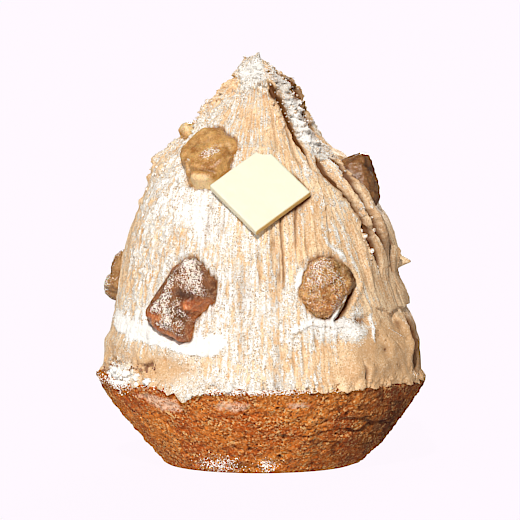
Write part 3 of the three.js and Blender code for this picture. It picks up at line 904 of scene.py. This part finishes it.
# How each chestnut looks. Its seat is (angle, z), soft is how often its solid is smoothed, the corners of its
# outline are (across, up) on its face, and strokes on the face are (across, up, across, up, width, amount).
CHESTNUT_LOOKS = {
    "chestnut_upper_left": {
        "seat": (-33, 75.4), "amber": 1.0, "dust": 0.06, "soft": 30, "grain": 0.24, "uneven": 0.5,
        "outline": (
            (-2.7, 8.4), (-0.2, 8.1), (2, 6.3), (4, 5.5), (5.4, 3.6), (5.8, 1.2), (5.9, -1.1),
            (5.7, -3.4), (4.6, -6.3), (2.8, -9), (0.1, -9.2), (-2.4, -8.8), (-3.9, -7.2), (-5.8, -4.4),
            (-8, -1.6), (-8.4, 1.3), (-7.3, 3.6), (-6.3, 6), (-4.6, 7.6),
        ),
        "sugar": ((0.9, -1, 1.8, -0.2, 1.4, 0.6), (-3.4, -3.1, -3.2, -4.2, 0.6, 0.2)),
        "pale": ((-0.3, -8.3, 3.6, -8.4, 1.4, 1.0),),
        "valleys": (
            (-4.5, 1, -0.5, 2.4, 1.0, 0.4), (-2, -6, 4, -5.8, 0.5, 0.7), (3, 4, 5.5, 0.5, 0.8, 0.3),
            (-2.9, -5, -1.6, -8.4, 0.7, 0.5), (-0.3, -8.3, 3.6, -8.4, 1.4, -0.4),
        ),
    },
    "chestnut_lower_left": {
        "seat": (-32.6, 41.8), "amber": 0.1, "dust": 0.52, "grain": 0.3,
        "outline": (
            (-1.3, 9.3), (1.3, 10.8), (2.7, 10.5), (4.4, 9.3), (5.8, 7.7), (8, 5), (8.5, 1.4),
            (8.4, 0.5), (6, -2.5), (4.6, -3.3), (3.8, -5.3), (4, -7.9), (3.8, -9.6), (2.3, -10.2),
            (-1.1, -8.9), (-5, -7.6), (-7.3, -6.3), (-9.3, -5), (-9.5, -3.3), (-8.3, -0.9), (-5.9, 3.6),
            (-3.7, 6.8),
        ),
        "sugar": (
            (0.8, 9, 3.4, 9.6, 1.2, 0.4), (-2, 4.6, -2.4, 0.8, 0.9, 0.3),
            (-2.6, -1.6, 0.2, -6, 0.6, 0.35), (3.6, -3.4, 4.2, -4.5, 0.6, 0.4),
            (4.6, 6.8, 6.6, 2.8, 1.3, 0.2),
        ),
        "bare": (
            (-1.2, 8.9, -4, 4.4, 0.6, 1.2), (-4, 4.4, -8.2, -3.1, 0.8, 1.2),
            (6.8, 7.2, 8.9, 2.4, 0.4, 1.2), (3.8, -1, 8, -0.3, 0.9, 1.4),
            (4.6, -1.6, 5.8, -2.4, 0.9, 1.4), (-7.6, -4, -4, -4.6, 1.0, 0.8),
            (-6, -6.8, 2.8, -9.8, 0.8, 1.0), (4.2, -8.2, 4.8, -3.8, 0.5, 1.2),
        ),
        "glow": (
            (3.8, -1, 8, -0.3, 1.1, 0.9), (4.6, -1.6, 5.8, -2.4, 1.1, 0.9),
            (-7.6, -4, -4, -4.6, 1.3, 0.8), (-6, -6.8, 2.8, -9.8, 1.0, 0.8),
            (4.2, -8.2, 4.8, -3.8, 0.7, 0.8),
        ),
        "dim": ((0.6, 1.6, 5.4, 0.9, 1.1, 0.5),),
        "valleys": (
            (0.6, 1.6, 5.6, 0.8, 0.8, 0.6), (5.2, -0.2, 9, 0.2, 0.6, 0.3),
            (2.8, -1.6, 3.6, -5, 0.5, 0.4), (-1.6, -3.2, 1.4, -5.4, 0.5, 0.3),
        ),
    },
    "chestnut_lower_right": {
        "seat": (28, 45.2), "amber": 0.85, "dust": 0.34, "soft": 10, "grain": 0.6,
        "outline": (
            (-6.5, 2.7), (-5.7, 4.3), (-3.3, 6.4), (-1.1, 7.3), (2.1, 6.8), (4.9, 5.5), (7.1, 3.3),
            (7.7, 0.7), (6.9, -1.5), (5.1, -3.3), (2.8, -5.3), (-0.1, -7.4), (-2.6, -7.3), (-5.3, -5.7),
            (-6.3, -3.3), (-6.9, -0.4),
        ),
        "sugar": ((-3, 5.6, 0.8, 5.5, 0.9, 0.25),),
        "glow": ((-3, 1, 3, -3, 4, 0.3), (-4.5, -4, 1, -6, 1.6, 0.3)),
        "bare": (
            (2.6, 5.4, 6.1, 2.7, 1.3, 0.5), (6.1, 2.7, 6.9, -1, 1.2, 0.5),
            (-5.6, -5, -1, -6.1, 1.2, 0.15),
        ),
        "dim": ((3, 5.2, 6.3, 2.7, 1.2, 0.4), (6.3, 2.7, 6.9, -1, 1.3, 0.45)),
        "sunk": ((7, -1.2, 1.2, -7.8, 0.9, 1.3),),
        "valleys": (
            (-5.2, -1.6, 1.4, 0.6, 0.5, 0.3), (-5.2, -3.8, 1.4, -1.6, 0.5, 0.25),
            (3.2, 4.4, 4, -1, 0.7, 0.3),
        ),
    },
    "chestnut_right_side": {
        "seat": (76, 69.4), "amber": 0.4, "dust": 0.02, "shade": 0.36, "soft": 16, "grain": 0.14,
        "valleys": ((-2, 2, 2, -1, 1.0, 0.6),),
    },
    "chestnut_left_side": {
        "seat": (-98, 45.6), "amber": 0.7, "dust": 0.65, "shade": 0.2, "sugar": ((2, -1, 3, -1, 2.2, 0.4),),
        "valleys": ((0, 0, 5, 0.6, 1.0, 0.8),),
    },
    "chestnut_back_upper": {
        "seat": (166, 66), "amber": 0.9, "dust": 0.2, "sugar": ((1, 2, 2, 2.4, 3, 0.4),),
        "valleys": ((-4, -2, 3, 1, 1.0, 0.6),),
    },
    "chestnut_back_right": {
        "seat": (126, 43), "amber": 0.1, "dust": 0.4, "valleys": ((-3, 2, 3, -2, 1.0, 0.8),),
    },
    "chestnut_back_left": {
        "seat": (-146, 40), "amber": 0.55, "dust": 0.35, "valleys": ((-3, -2, 3, 2, 1.0, 0.5),),
    },
    "chestnut_crumb": {"seat": (-78, 81), "amber": 1.0, "dust": 0.3, "pale": ((-1, 0, 1, 0, 3, 0.6),)},
}
NUT_LEAN_REACH = 4  # how far above and below its seat the mound's slope is taken for a chestnut's lean
USUAL_GRAIN = 0.28
USUAL_SOFTENING = 2
NUT_VOXEL = 0.32
PLAQUE_VOXEL = 0.24
PLAQUE_SOFTENING = 3
NUT_LUMP = 4
NUT_CRAG = 1.7
GAP_REACH = 3.0  # how far the mound's skin looks for the chestnuts and the plaque
NUT_RIDGE = (0.35, 1.8, 0.7)  # lift of the cream beside a chestnut, its distance and its width
NUT_SEAM = (0.45, 0.6)  # depth and width of the seam round a chestnut
NUT_SHADE = (0.62, 0.55)  # amount and width of the shade in that seam
NUT_DUST = (0.15, 1.2, 0.6)  # amount of sugar beside a chestnut, its distance and its width
PLAQUE_SHADE = (0.95, 0.95)  # amount and width of the shade beside the plaque
PLAQUE_LIT = (69, 74)  # the heights between which that shade ends
PLAQUE_DARK = (-8, 4)  # the angles between which it sets in
SKIN_STRETCH = 6  # how much longer than wide the fine streaks in the cream's colour are
BED_GAP = 0.4  # how far the mound's underside stays above the bed


def make_mound(material, nuts, plaque):
    """The mound's skin, in bands, fitted round the skins of the chestnuts and of the plaque."""
    z, angle = np.meshgrid(rows(MOUND_ROWS), columns(MOUND_COLUMNS, FRONT_FINENESS), indexing="ij")
    radius, leaning, height, looks = mound_skin(angle, z)
    radius = radius + spots(angle, z, SWELLS)
    radius, height = lap_over_rim(angle, height, radius, looks)
    points = np.stack(on_circle(leaning, radius, height), axis=-1)
    flat = points.reshape(-1, 3)
    nut_gap = np.min([distance_to(nut, flat, GAP_REACH) for nut in nuts], axis=0).reshape(angle.shape)
    plaque_gap = distance_to(plaque, flat, GAP_REACH).reshape(angle.shape)
    out = points * (1, 1, 0)
    out /= np.maximum(np.linalg.norm(out, axis=2, keepdims=True), 1)
    beside_nut = NUT_RIDGE[0] * bell((nut_gap - NUT_RIDGE[1]) / NUT_RIDGE[2])
    beside_nut = beside_nut - NUT_SEAM[0] * bell(nut_gap / NUT_SEAM[1])
    dark_edge = (1 - smoothstep(z, *PLAQUE_LIT)) * (0.1 + 0.9 * smoothstep(angle, *PLAQUE_DARK))
    uncovered = 1 - 0.8 * np.clip(looks["heavy"], 0, 1)
    points = points + (beside_nut * uncovered)[..., None] * out
    # Painted shade in the seams round the chestnuts and along the plaque's lower edges
    contact_shade = NUT_SHADE[0] * bell(nut_gap / NUT_SHADE[1])
    contact_shade = contact_shade + PLAQUE_SHADE[0] * bell(plaque_gap / PLAQUE_SHADE[1]) * dark_edge
    looks["painted_shade"] = np.clip(looks["painted_shade"] + contact_shade, 0, 1)
    looks["dust"] = looks["dust"] + NUT_DUST[0] * bell((nut_gap - NUT_DUST[1]) / NUT_DUST[2])
    normals = grid_normals(points)
    east, north = round_skin(sheared(angle, z), SKIN_RADIUS)
    skin = np.stack([SKIN_RADIUS * east, SKIN_RADIUS * north, z / SKIN_STRETCH], axis=-1) * MM
    band_rows = MOUND_ROWS // MOUND_BANDS
    for band in range(MOUND_BANDS):
        last = band == MOUND_BANDS - 1
        part = slice(band * band_rows, (band + 1) * band_rows + (not last))
        row_count = band_rows + (not last)
        count = row_count * MOUND_COLUMNS
        ring = np.arange(MOUND_COLUMNS)
        faces = [grid_faces(row_count, MOUND_COLUMNS)]
        if last:
            tip, tip_normal = points[-1].mean(axis=0), (0, 0, 1)
            faces.append(fan(ring + count - MOUND_COLUMNS, count))
        else:
            tip, tip_normal = (0, 0, BED_Z + BED_GAP), (0, 0, -1)
            faces.append(fan(ring[::-1], count))
        extra = {"dust": 0.6, "painted_shade": 0, "smooth": 0}
        attributes = {key: np.append(looks[key][part].ravel(), value) for key, value in extra.items()}
        attributes["skin"] = np.vstack([skin[part].reshape(-1, 3), (0, 0, 0)])
        piece = make_piece(
            "cream_" + ("foot", "peak")[band],
            np.vstack([points[part].reshape(-1, 3), tip]),
            faces,
            material,
            attributes,
            np.vstack([normals[part].reshape(-1, 3), tip_normal]),
        )
        stand_for(piece, "cream_mound")
    return points.reshape(-1, 3), normals.reshape(-1, 3), looks["heavy"].ravel(), nut_gap.ravel()


def subdivide(corners, faces):
    """Splits each triangle into four and rounds the result into a ball."""
    corners = [tuple(c) for c in corners]
    halves = {}

    def half(a, b):
        key = (min(a, b), max(a, b))
        if key not in halves:
            middle = (np.array(corners[a]) + corners[b]) / 2
            halves[key] = len(corners)
            corners.append(tuple(middle / np.linalg.norm(middle)))
        return halves[key]

    finer = []
    for a, b, c in faces:
        ab, bc, ca = half(a, b), half(b, c), half(c, a)
        finer += [(a, ab, ca), (ab, b, bc), (ca, bc, c), (ab, bc, ca)]
    return np.array(corners), np.array(finer)


GRAIN_SEED = 7
GRAIN_CORNERS = (0.5, 1.2)  # how far a grain's corners stand out
GRAIN_AXES = (0.5, 1.25)  # how far it is stretched along its axes
GRAIN_LIFT = 0.35  # how far it stands out of the skin, as a share of its size
GRAINS = {  # count, least and largest size, how rare the large ones are, and how often the faces are split
    "sugar_grains": (7000, 0.07, 0.2, 1, 0),
    "fringe_grains": (2200, 0.09, 0.25, 1, 0),
    "cream_crumbs": (380, 0.15, 0.5, 2, 1),
    "sugar_lumps": (90, 0.2, 0.95, 2, 2),
    "crust_crumbs": (130, 0.1, 0.32, 1, 1),
}
NUT_MARGIN = 1.0  # grains stay this far from the chestnuts
BARE_TIP = 3  # and this far below the top
LEAST_SUGAR = 0.35  # single grains lie where there is more sugar than this
SET_CRUMBS = (  # single crumbs that show well: angle, z and size
    (-87, 87.2, 0.9), (-84, 86, 0.7), (-88, 76.2, 0.9), (-86, 75, 0.7), (-89, 70.4, 0.8),
    (-80, 82.6, 0.9), (49.4, 57.8, 0.45), (50.2, 56.4, 0.85), (49.6, 55.5, 0.4), (57.4, 57.6, 0.9),
    (50.8, 54.2, 0.5), (52.4, 52.9, 1.0), (53.2, 51.9, 0.45), (51.4, 51.2, 0.4), (60.6, 53.6, 0.7),
    (57, 49.3, 0.55), (63.5, 61, 0.5), (66, 56, 0.5), (44, 93.5, 0.6), (34, 90, 0.5), (52, 88, 0.6),
    (40, 84.5, 0.5), (58, 84, 0.6), (36, 81, 0.5), (50, 79, 0.6), (-84, 98.4, 0.6), (-60, 97.4, 0.4),
    (50, 97.4, 0.5), (-14, 76, 0.6), (-11, 74, 0.5), (-15, 73.4, 0.5),
)
# Where lumps of sugar and crumbs of crust lie, as spots
LUMP_PLACES = ((-60, 23.4, 6, 1.5, 1.0), (-69, 23.4, 5, 1.0, 0.5), (-49, 22.6, 6, 0.8, 0.35))
CRUST_PLACES = (
    (-48, 25.6, 6, 1.5, 0.9), (-43, 26.4, 3, 1.0, 0.6), (-72, 24.4, 8, 1.6, 0.6),
    (-84, 23, 6, 1.8, 0.7),
)
FRINGE = (  # where sugar glints on the pastry, as spots; the grains there glow as painted light
    (-8, 21.2, 32, 0.8, 1.0), (-60, 21, 9, 1.6, 0.95), (-22, 2.4, 12, 2.4, 0.7), (4, 2, 5, 2.2, 0.8),
    (-80, 21.4, 8, 1, 0.7), (-61, 19.4, 1.4, 1.4, 0.9),
)


def strew(name, skin, chance, material, rng, placed=()):
    """Strews grains of random shape on a skin of points and normals, and joins them into one piece.

    A grain is an octahedron or a finer ball. Those placed one by one have an angle, a height and a size.
    """
    count, least, largest, rarity, fineness = GRAINS[name]
    chosen = rng.choice(len(chance), count, replace=False, p=chance / chance.sum())
    sizes = least + (largest - least) * rng.uniform(0, 1, count) ** rarity
    for angle, z, size in placed:
        place = on_circle(angle, mound_profile(np.float64(z)), z)
        chosen = np.append(chosen, np.argmin(np.sum(np.square(skin[0] - place), axis=1)))
        sizes = np.append(sizes, size)
    corners = np.array([(1, 0, 0), (0, 1, 0), (0, 0, 1), (-1, 0, 0), (0, -1, 0), (0, 0, -1)], float)
    faces = np.array([(0, 1, 2), (1, 3, 2), (3, 4, 2), (4, 0, 2), (1, 0, 5), (3, 1, 5), (4, 3, 5), (0, 4, 5)])
    for _ in range(fineness):
        corners, faces = subdivide(corners, faces)
    count = len(chosen)
    turns = np.linalg.qr(rng.normal(size=(count, 3, 3)))[0]
    turns *= np.sign(np.linalg.det(turns))[:, None, None]
    shapes = corners[None] * rng.uniform(*GRAIN_CORNERS, (count, len(corners), 1))
    shapes = shapes * rng.uniform(*GRAIN_AXES, (count, 1, 3))
    shapes = np.einsum("nij,nkj->nki", turns, shapes) * sizes[:, None, None]
    shapes += (skin[0][chosen] + skin[1][chosen] * (sizes * GRAIN_LIFT)[:, None])[:, None]
    all_faces = (faces[None] + (np.arange(count) * len(corners))[:, None, None]).reshape(-1, 3)
    piece = make_piece(name, shapes.reshape(-1, 3), [all_faces], material)


def make_grains(mound, base):
    """Powdered sugar and crumbs on the mound, on the pastry and along the rim between them."""
    points, normals, heavy, nut_gap = mound
    cream = points, normals
    both = [np.vstack(pair) for pair in zip(cream, base)]
    rng = np.random.default_rng(GRAIN_SEED)

    def near(skin, table):
        return spots(angle_of(skin[0]), skin[0][:, 2], table)

    free = (nut_gap > NUT_MARGIN) & (points[:, 2] < HEIGHT - BARE_TIP)
    off_floor = base[0][:, 2] > 2 * GRAINS["fringe_grains"][2]
    outer = np.hypot(both[0][:, 0], both[0][:, 1]) > RIM_RADIUS - RIM_WIDTH
    sugared = np.clip(heavy - LEAST_SUGAR, 0, 1) * free
    fringed = near(base, FRINGE) ** 2 * off_floor
    crumbly = np.clip(near(cream, ROUGH), 0, 1) ** 2 * free
    lumpy = near(both, LUMP_PLACES) ** 2 * outer
    crusty = near(both, CRUST_PLACES) ** 2 * outer
    # all three sugar materials glow a little as painted light
    strew("sugar_grains", cream, sugared, sugar_material("powdered_sugar", 0.03), rng)
    strew("fringe_grains", base, fringed, sugar_material("sugar_glints", 0.35), rng)
    strew("cream_crumbs", cream, crumbly, crumb_material(), rng, SET_CRUMBS)
    strew("sugar_lumps", both, lumpy, sugar_material("sugar_lump", 0.1), rng)
    strew("crust_crumbs", both, crusty, crust_material(), rng)


def curve(start, control, end, count):
    t = np.linspace(0, 1, count, endpoint=False)[:, None]
    return (1 - t) ** 2 * np.array(start) + 2 * t * (1 - t) * np.array(control) + t * t * np.array(end)


def base_outline():
    """Radius and height of the base from the edge of its foot to the bed under the cream."""
    low = (FOOT_RADIUS + FOOT_ROUNDING, FOOT_ROUNDING)
    high = (RIM_RADIUS - RIM_ROUNDING / 4, RIM_Z - RIM_ROUNDING)
    swell = ((low[0] + high[0]) / 2 + FLANK_BULGE, (low[1] + high[1]) / 2 - FLANK_BULGE)
    middle = (RIM_RADIUS - RIM_WIDTH / 2, RIM_Z)
    foot = (FOOT_RADIUS - FOOT_ROUNDING / 2, 0)
    shares = [round(BASE_ROWS * share) for share in (0.1, 0.68, 0.1, 0.12)]
    return np.vstack([
        curve(foot, (FOOT_RADIUS + FOOT_ROUNDING / 2, 0), low, shares[0]),
        curve(low, swell, high, shares[1]),
        curve(high, (RIM_RADIUS + RIM_ROUNDING / 4, RIM_Z), middle, shares[2]),
        curve(middle, (RIM_RADIUS - RIM_WIDTH, RIM_Z), (BED_RADIUS, BED_Z), shares[3]),
    ])


def swell_at(swell, angle):
    return swell[1] * bell_round(angle, swell[0], swell[2])


FLANK_FLAT = (-88, 8.5, 45, 6.5, -1.1)  # a straight stretch of the flank, as a spot
BASE_SUGAR = (  # as spots
    (-60, 21.8, 9, 1.6, 0.6), (-20, 2.4, 11, 2.8, 0.2), (-34, 1.6, 10, 1.6, 0.15), (4, 2, 4, 2.4, 0.25),
    (-8, 21.2, 34, 0.9, 0.3),
)
TOASTED_AND_SHADED = (  # darker crust, as spots; the wide spot on the right, the side turned from the light, is painted shade
    (68, 12, 31, 16, 1.0), (20, 21.2, 60, 1.8, 0.75), (-84, 21, 12, 3, 0.7), (-66, 20, 8, 1.4, 0.5),
    (-11, 1.8, 6, 1.2, 0.8), (150, 6, 40, 8, 0.5), (-120, 16, 30, 8, 0.5),
)
SMEARS = (  # pale smears, as spots
    (-47, 19, 5, 1.0, 0.9), (-39, 17.4, 5, 1.7, 1.2), (-33, 17.2, 4, 1.6, 1.1),
    (-10, 17.6, 6.5, 1.4, 1.2), (14, 17.8, 6, 0.9, 0.8),
)
CRACKED = (50, 11, 34, 8, 1.0)  # where the crust has level cracks, as a spot
PASTRY_CRUMB = 0.9
PIT_SPACING = 3.2
PASTRY_LUMP = 2.6
SMEAR_GRAIN = 1.6
TURNED = np.array([(0.36, 0.48, -0.8), (-0.8, 0.6, 0), (0.48, 0.64, 0.6)])  # turns places off the axes


def make_base(material):
    outline = base_outline()
    angles = columns(BASE_COLUMNS, FRONT_FINENESS)
    radius, angle = np.meshgrid(outline[:, 0], angles, indexing="ij")
    z = np.repeat(outline[:, 1:], len(angles), axis=1)
    full = smoothstep(z, 0, FOOT_ROUNDING) * (1 - smoothstep(z, FOOT_ROUNDING, BED_Z))
    radius = radius + rim_waver(angle) * smoothstep(z, 0, RIM_Z) + swell_at(FLANK_SWELL, angle) * full
    radius = radius + patch(angle, z, FLANK_FLAT)
    z = z + swell_at(RIM_SWELL, angle) * smoothstep(z, BED_Z / 2, RIM_Z)
    along = np.gradient(outline, axis=0)
    along /= np.linalg.norm(along, axis=1)[:, None]
    out_r, out_z = along[:, 1:], -along[:, :1]
    place = np.tensordot(TURNED, np.array(on_circle(angle, radius, z)), 1)
    crumb, value = nearest_cell(*scaled(place, PASTRY_CRUMB), 101)
    pit_size = nearest_cell(*scaled(place, PIT_SPACING), 111)
    pits = np.clip(1 - pit_size[0] / (0.12 + 0.2 * pit_size[1]), 0, 1)
    rough = layered(*scaled(place, PASTRY_LUMP), 121, 3, 0.55)
    cracks = np.abs(noise(*round_skin(angle, 9), z / 1.5, 125))
    cracks = (1 - smoothstep(cracks, 0.03, 0.16)) * patch(angle, z, CRACKED)
    relief = 0.32 * (0.45 - crumb) + 0.3 * rough - 0.7 * pits - 0.45 * cracks
    fade = smoothstep(z, 0.1, 1.4)
    radius = radius + relief * fade * out_r
    z = np.maximum(z + relief * fade * out_z, 0)
    dust = spots(angle, z, BASE_SUGAR)
    # painted shade in the pits, in the cracks and between the crumbs
    painted_shade = np.clip(0.9 * pits + 0.8 * cracks + 0.7 * smoothstep(crumb, 0.6, 0.95) * (0.3 + 0.7 * value), 0, 1)
    smear = spots(angle, z, SMEARS)
    streaky = layered(*scaled(place, SMEAR_GRAIN), 127, 3, 0.6)
    smear = smoothstep(smear + 0.35 * streaky, 0.3, 1.0) * smoothstep(smear, 0.15, 0.5)
    points = np.stack(on_circle(angle, radius, z), axis=-1)
    normals = grid_normals(points).reshape(-1, 3)
    points = points.reshape(-1, 3)
    count = len(points)
    points = np.vstack([points, [(0, 0, 0), (0, 0, BED_Z)]])
    ring = np.arange(BASE_COLUMNS)
    faces = [grid_faces(len(outline), BASE_COLUMNS), fan(ring[::-1], count)]
    faces.append(fan(ring + count - BASE_COLUMNS, count + 1))
    toast_and_shade = np.clip(spots(angle, z, TOASTED_AND_SHADED) * (0.8 + 0.4 * rough), 0, 0.9)
    looks = {"dust": dust, "painted_shade": painted_shade, "smear": np.clip(1.1 * smear, 0, 0.95), "toast_and_shade": toast_and_shade}
    attributes = {key: np.append(values.ravel(), (0, 0)) for key, values in looks.items()}
    stand_for(make_piece("pastry", points, faces, material, attributes), "pastry_base")
    return points[:count], normals


def remeshed(node, voxel, softening):
    """A solid's skin as small even faces: points and normals in millimetres, and faces."""
    twin = bpy.data.objects.new("twin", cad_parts[node].data.copy())
    bpy.context.scene.collection.objects.link(twin)
    remesh = twin.modifiers.new("remesh", "REMESH")
    remesh.mode = "VOXEL"
    remesh.voxel_size = voxel * MM
    soft = twin.modifiers.new("soft", "SMOOTH")
    soft.factor = 0.5
    soft.iterations = softening
    mesh = bpy.data.meshes.new_from_object(twin.evaluated_get(bpy.context.evaluated_depsgraph_get()))
    points = np.array([v.co for v in mesh.vertices]) / MM
    normals = np.array([v.vector for v in mesh.vertex_normals])
    faces = [list(p.vertices) for p in mesh.polygons]
    bpy.data.objects.remove(twin)
    return points, normals, faces


def stretch(across, up, ends):
    """Distance from a straight stretch between two places on a chestnut's face."""
    start, end = np.array(ends[:2]), np.array(ends[2:4])
    step = end - start
    along = ((across - start[0]) * step[0] + (up - start[1]) * step[1]) / (step @ step)
    along = np.clip(along, 0, 1)
    return np.hypot(across - start[0] - along * step[0], up - start[1] - along * step[1])


OUTLINE_STEPS = 24
SHOWING = 0.0  # the part of a chestnut that stands this far out of the mound gives its outline
OUTLINE_SHARES = (0.6, 1.6)  # the most that an outline moves in and out


def fitted(places, corners):
    """Places on a chestnut's face, moved in or out so that its outline runs through the corners."""
    def polar(across, up):
        return np.arctan2(up, across), np.hypot(across, up)

    corners = np.array(corners, float)
    steps = np.linspace(0, 1, OUTLINE_STEPS, endpoint=False)[:, None, None]
    edge = corners + steps * (np.roll(corners, -1, axis=0) - corners)
    turn, reach = polar(*places.T[:2])
    wanted = np.interp(turn, *polar(*edge.reshape(-1, 2).T), period=2 * np.pi)
    count = 3 * OUTLINE_STEPS
    sector = ((turn + np.pi) / (2 * np.pi) * count).astype(int) % count
    widest = np.zeros(count)
    np.maximum.at(widest, sector, np.where(places[:, 2] > SHOWING, reach, 0))
    middles = (np.arange(count) + 0.5) / count * 2 * np.pi - np.pi
    widest = np.maximum(np.interp(turn, middles, widest, period=2 * np.pi), 1)
    return places[:, :2] * np.clip(wanted / widest, *OUTLINE_SHARES)[:, None]


def make_chestnut(node, material):
    """A chestnut shaped from its solid. Gives its corners and faces."""
    look = CHESTNUT_LOOKS[node]
    angle, height = look["seat"]
    points, normals, faces = remeshed(node, NUT_VOXEL, look.get("soft", USUAL_SOFTENING))
    turn = math.radians(angle)
    slope = mound_profile(height - NUT_LEAN_REACH) - mound_profile(height + NUT_LEAN_REACH)
    lean = math.atan2(slope, 2 * NUT_LEAN_REACH)
    side = np.array([math.cos(turn), math.sin(turn), 0])
    out = np.array([math.sin(turn) * math.cos(lean), -math.cos(turn) * math.cos(lean), math.sin(lean)])
    axes = np.array([side, np.cross(out, side), out])
    seat = np.array(on_circle(angle, mound_profile(height), height))
    local = (points - seat) @ axes.T
    if "outline" in look:
        local[:, :2] = fitted(local, look["outline"])
        points = seat + local @ axes
    across, up = local.T[:2]

    def marked(kind):
        marks = (m[5] * bell(stretch(across, up, m) / m[4]) for m in look.get(kind, ()))
        return sum(marks, np.zeros(len(points)))

    points = points - marked("sunk")[:, None] * out
    facing = smoothstep(normals @ out, 0.1, 0.6)
    carved = marked("valleys") * facing
    lumpy = 0.36 * layered(*scaled(points.T, NUT_LUMP), 131, 4, 0.6)
    craggy = 0.22 * np.abs(noise(*scaled(points.T, NUT_CRAG), 141))
    blotchy = 0.75 + 0.6 * layered(*scaled(points.T, NUT_LUMP), 151, 2)
    relief = (lumpy - craggy) * look.get("uneven", 1)
    points = points + (relief - carved)[:, None] * normals
    # painted shade in the carved valleys, on the dim marks and over chestnuts that sit in shade
    painted_shade = np.clip(0.45 * carved + marked("dim") + look.get("shade", 0), 0, 0.75)
    dust = look["dust"] * blotchy * (0.2 + 0.8 * facing) + marked("sugar") - marked("bare") - 0.5 * painted_shade
    even = np.ones(len(points))
    attributes = {
        "dust": dust,
        "painted_shade": painted_shade,
        "amber": look["amber"] * even,
        "grain": look.get("grain", USUAL_GRAIN) * even,
        "glow": np.clip(marked("glow"), 0, 1),
        "pale": smoothstep(marked("pale"), 0.3, 0.6),
    }
    name = node.replace("chestnut", "candied_chestnut")
    piece = make_piece(name, points, [np.array(faces)], material, attributes)
    stand_for(piece, node)
    return points, faces


def make_plaque(material):
    points, normals, faces = remeshed("chocolate_plaque", PLAQUE_VOXEL, PLAQUE_SOFTENING)
    points = points + (0.05 * layered(*scaled(points.T, 3.5), 161, 2))[:, None] * normals
    thin = np.linalg.svd(points - points.mean(axis=0), full_matrices=False)[2][2]
    side = 1 - smoothstep(np.abs(normals @ thin), 0.35, 0.85)
    # the sides facing right get the most of this painted shade
    attributes = {"side": side * (0.2 + 0.8 * smoothstep(normals[:, 0], -0.3, 0.4))}
    piece = make_piece("plaque", points, [np.array(faces)], material, attributes)
    stand_for(piece, "chocolate_plaque")
    return points, faces


FLOOR_HALF = 30
FLOOR_Z = -0.0002


def make_stage():
    surface = Surface("pale_floor", Roughness=1.0)
    surface.set("Base Color", tint(40, 39, 40))
    surface.set("Emission Color", tint(255, 248, 255))
    surface.set("Emission Strength", 0.98)
    surface.set("Specular IOR Level", 0.0)
    mesh = bpy.data.meshes.new("floor")
    corners = [(x * FLOOR_HALF, y * FLOOR_HALF, 0) for x, y in ((-1, -1), (1, -1), (1, 1), (-1, 1))]
    mesh.from_pydata(corners, [], [(0, 1, 2, 3)])
    mesh.materials.append(surface.material)
    floor = bpy.data.objects.new("floor", mesh)
    floor.location.z = FLOOR_Z
    floor.visible_diffuse = False
    floor.visible_glossy = False
    bpy.context.scene.collection.objects.link(floor)


def aim(thing, place, target):
    thing.location = place
    thing.rotation_euler = (Vector(target) - Vector(place)).to_track_quat("-Z", "Y").to_euler()
    bpy.context.scene.collection.objects.link(thing)
    return thing


def make_camera():
    lens = bpy.data.cameras.new("camera")
    lens.sensor_width = SENSOR
    lens.lens = SENSOR * CAMERA_DISTANCE / FRAME_WIDTH
    lens.clip_end = FARTHEST
    rise = math.radians(CAMERA_ELEVATION)
    place = (0, -CAMERA_DISTANCE * math.cos(rise), AIM_Z + CAMERA_DISTANCE * math.sin(rise))
    bpy.context.scene.camera = aim(bpy.data.objects.new("camera", lens), place, (0, 0, AIM_Z))


SUNS = (  # name, the angle that it shines from, its height above the horizon, strength and spread
    ("key", -7, 34, 2.85, 2),
    ("back", 168, 22, 2.2, 20),
)
SUN_COLOUR = (1.0, 0.98, 0.95)
FILL_COLOUR = (1.0, 0.97, 0.95, 1)
FILL = 0.43
FILL_CONTRAST = 0.9
FILL_FROM = (-0.5, -0.5, -0.75)


def make_sun(name, angle, height, strength, spread):
    sun = bpy.data.lights.new(name, "SUN")
    sun.energy = strength
    sun.angle = math.radians(spread)
    sun.color = SUN_COLOUR
    turn, rise = math.radians(angle), math.radians(height)
    place = (math.sin(turn) * math.cos(rise), -math.cos(turn) * math.cos(rise), math.sin(rise))
    aim(bpy.data.objects.new(name, sun), place, (0, 0, 0))


def make_light():
    for sun in SUNS:
        make_sun(*sun)
    world = bpy.data.worlds.new("studio")
    world.use_nodes = True
    bpy.context.scene.world = world
    nodes = Nodes(world.node_tree)
    seen = nodes.add("ShaderNodeTexCoord").outputs["Generated"]
    inputs = {0: seen, 1: Vector(FILL_FROM).normalized()}
    towards = nodes.add("ShaderNodeVectorMath", inputs, operation="DOT_PRODUCT").outputs["Value"]
    inputs = {"Value": towards, "From Min": -1}
    inputs.update({"To Min": FILL * (1 - FILL_CONTRAST), "To Max": FILL * (1 + FILL_CONTRAST)})
    background = world.node_tree.nodes["Background"].inputs
    nodes.put(background["Color"], FILL_COLOUR)
    nodes.put(background["Strength"], nodes.add("ShaderNodeMapRange", inputs).outputs["Result"])


SHARPENING = 0.06


def make_crisp():
    """Sharpens the picture a little, as in the photo."""
    scene = bpy.context.scene
    scene.view_settings.view_transform = "Standard"
    scene.use_nodes = True
    scene.node_tree.nodes.clear()
    nodes = Nodes(scene.node_tree)
    inputs = {"Fac": SHARPENING, "Image": nodes.add("CompositorNodeRLayers").outputs["Image"]}
    sharpened = nodes.add("CompositorNodeFilter", inputs, filter_type="SHARPEN").outputs["Image"]
    nodes.add("CompositorNodeComposite", {"Image": sharpened})


make_crisp()
make_camera()
make_light()
make_stage()
chestnut_look = chestnut_material()
chestnuts = [make_chestnut(node, chestnut_look) for node in CHESTNUT_LOOKS]
mound = make_mound(cream_material(), chestnuts, make_plaque(chocolate_material()))
make_grains(mound, make_base(pastry_material()))
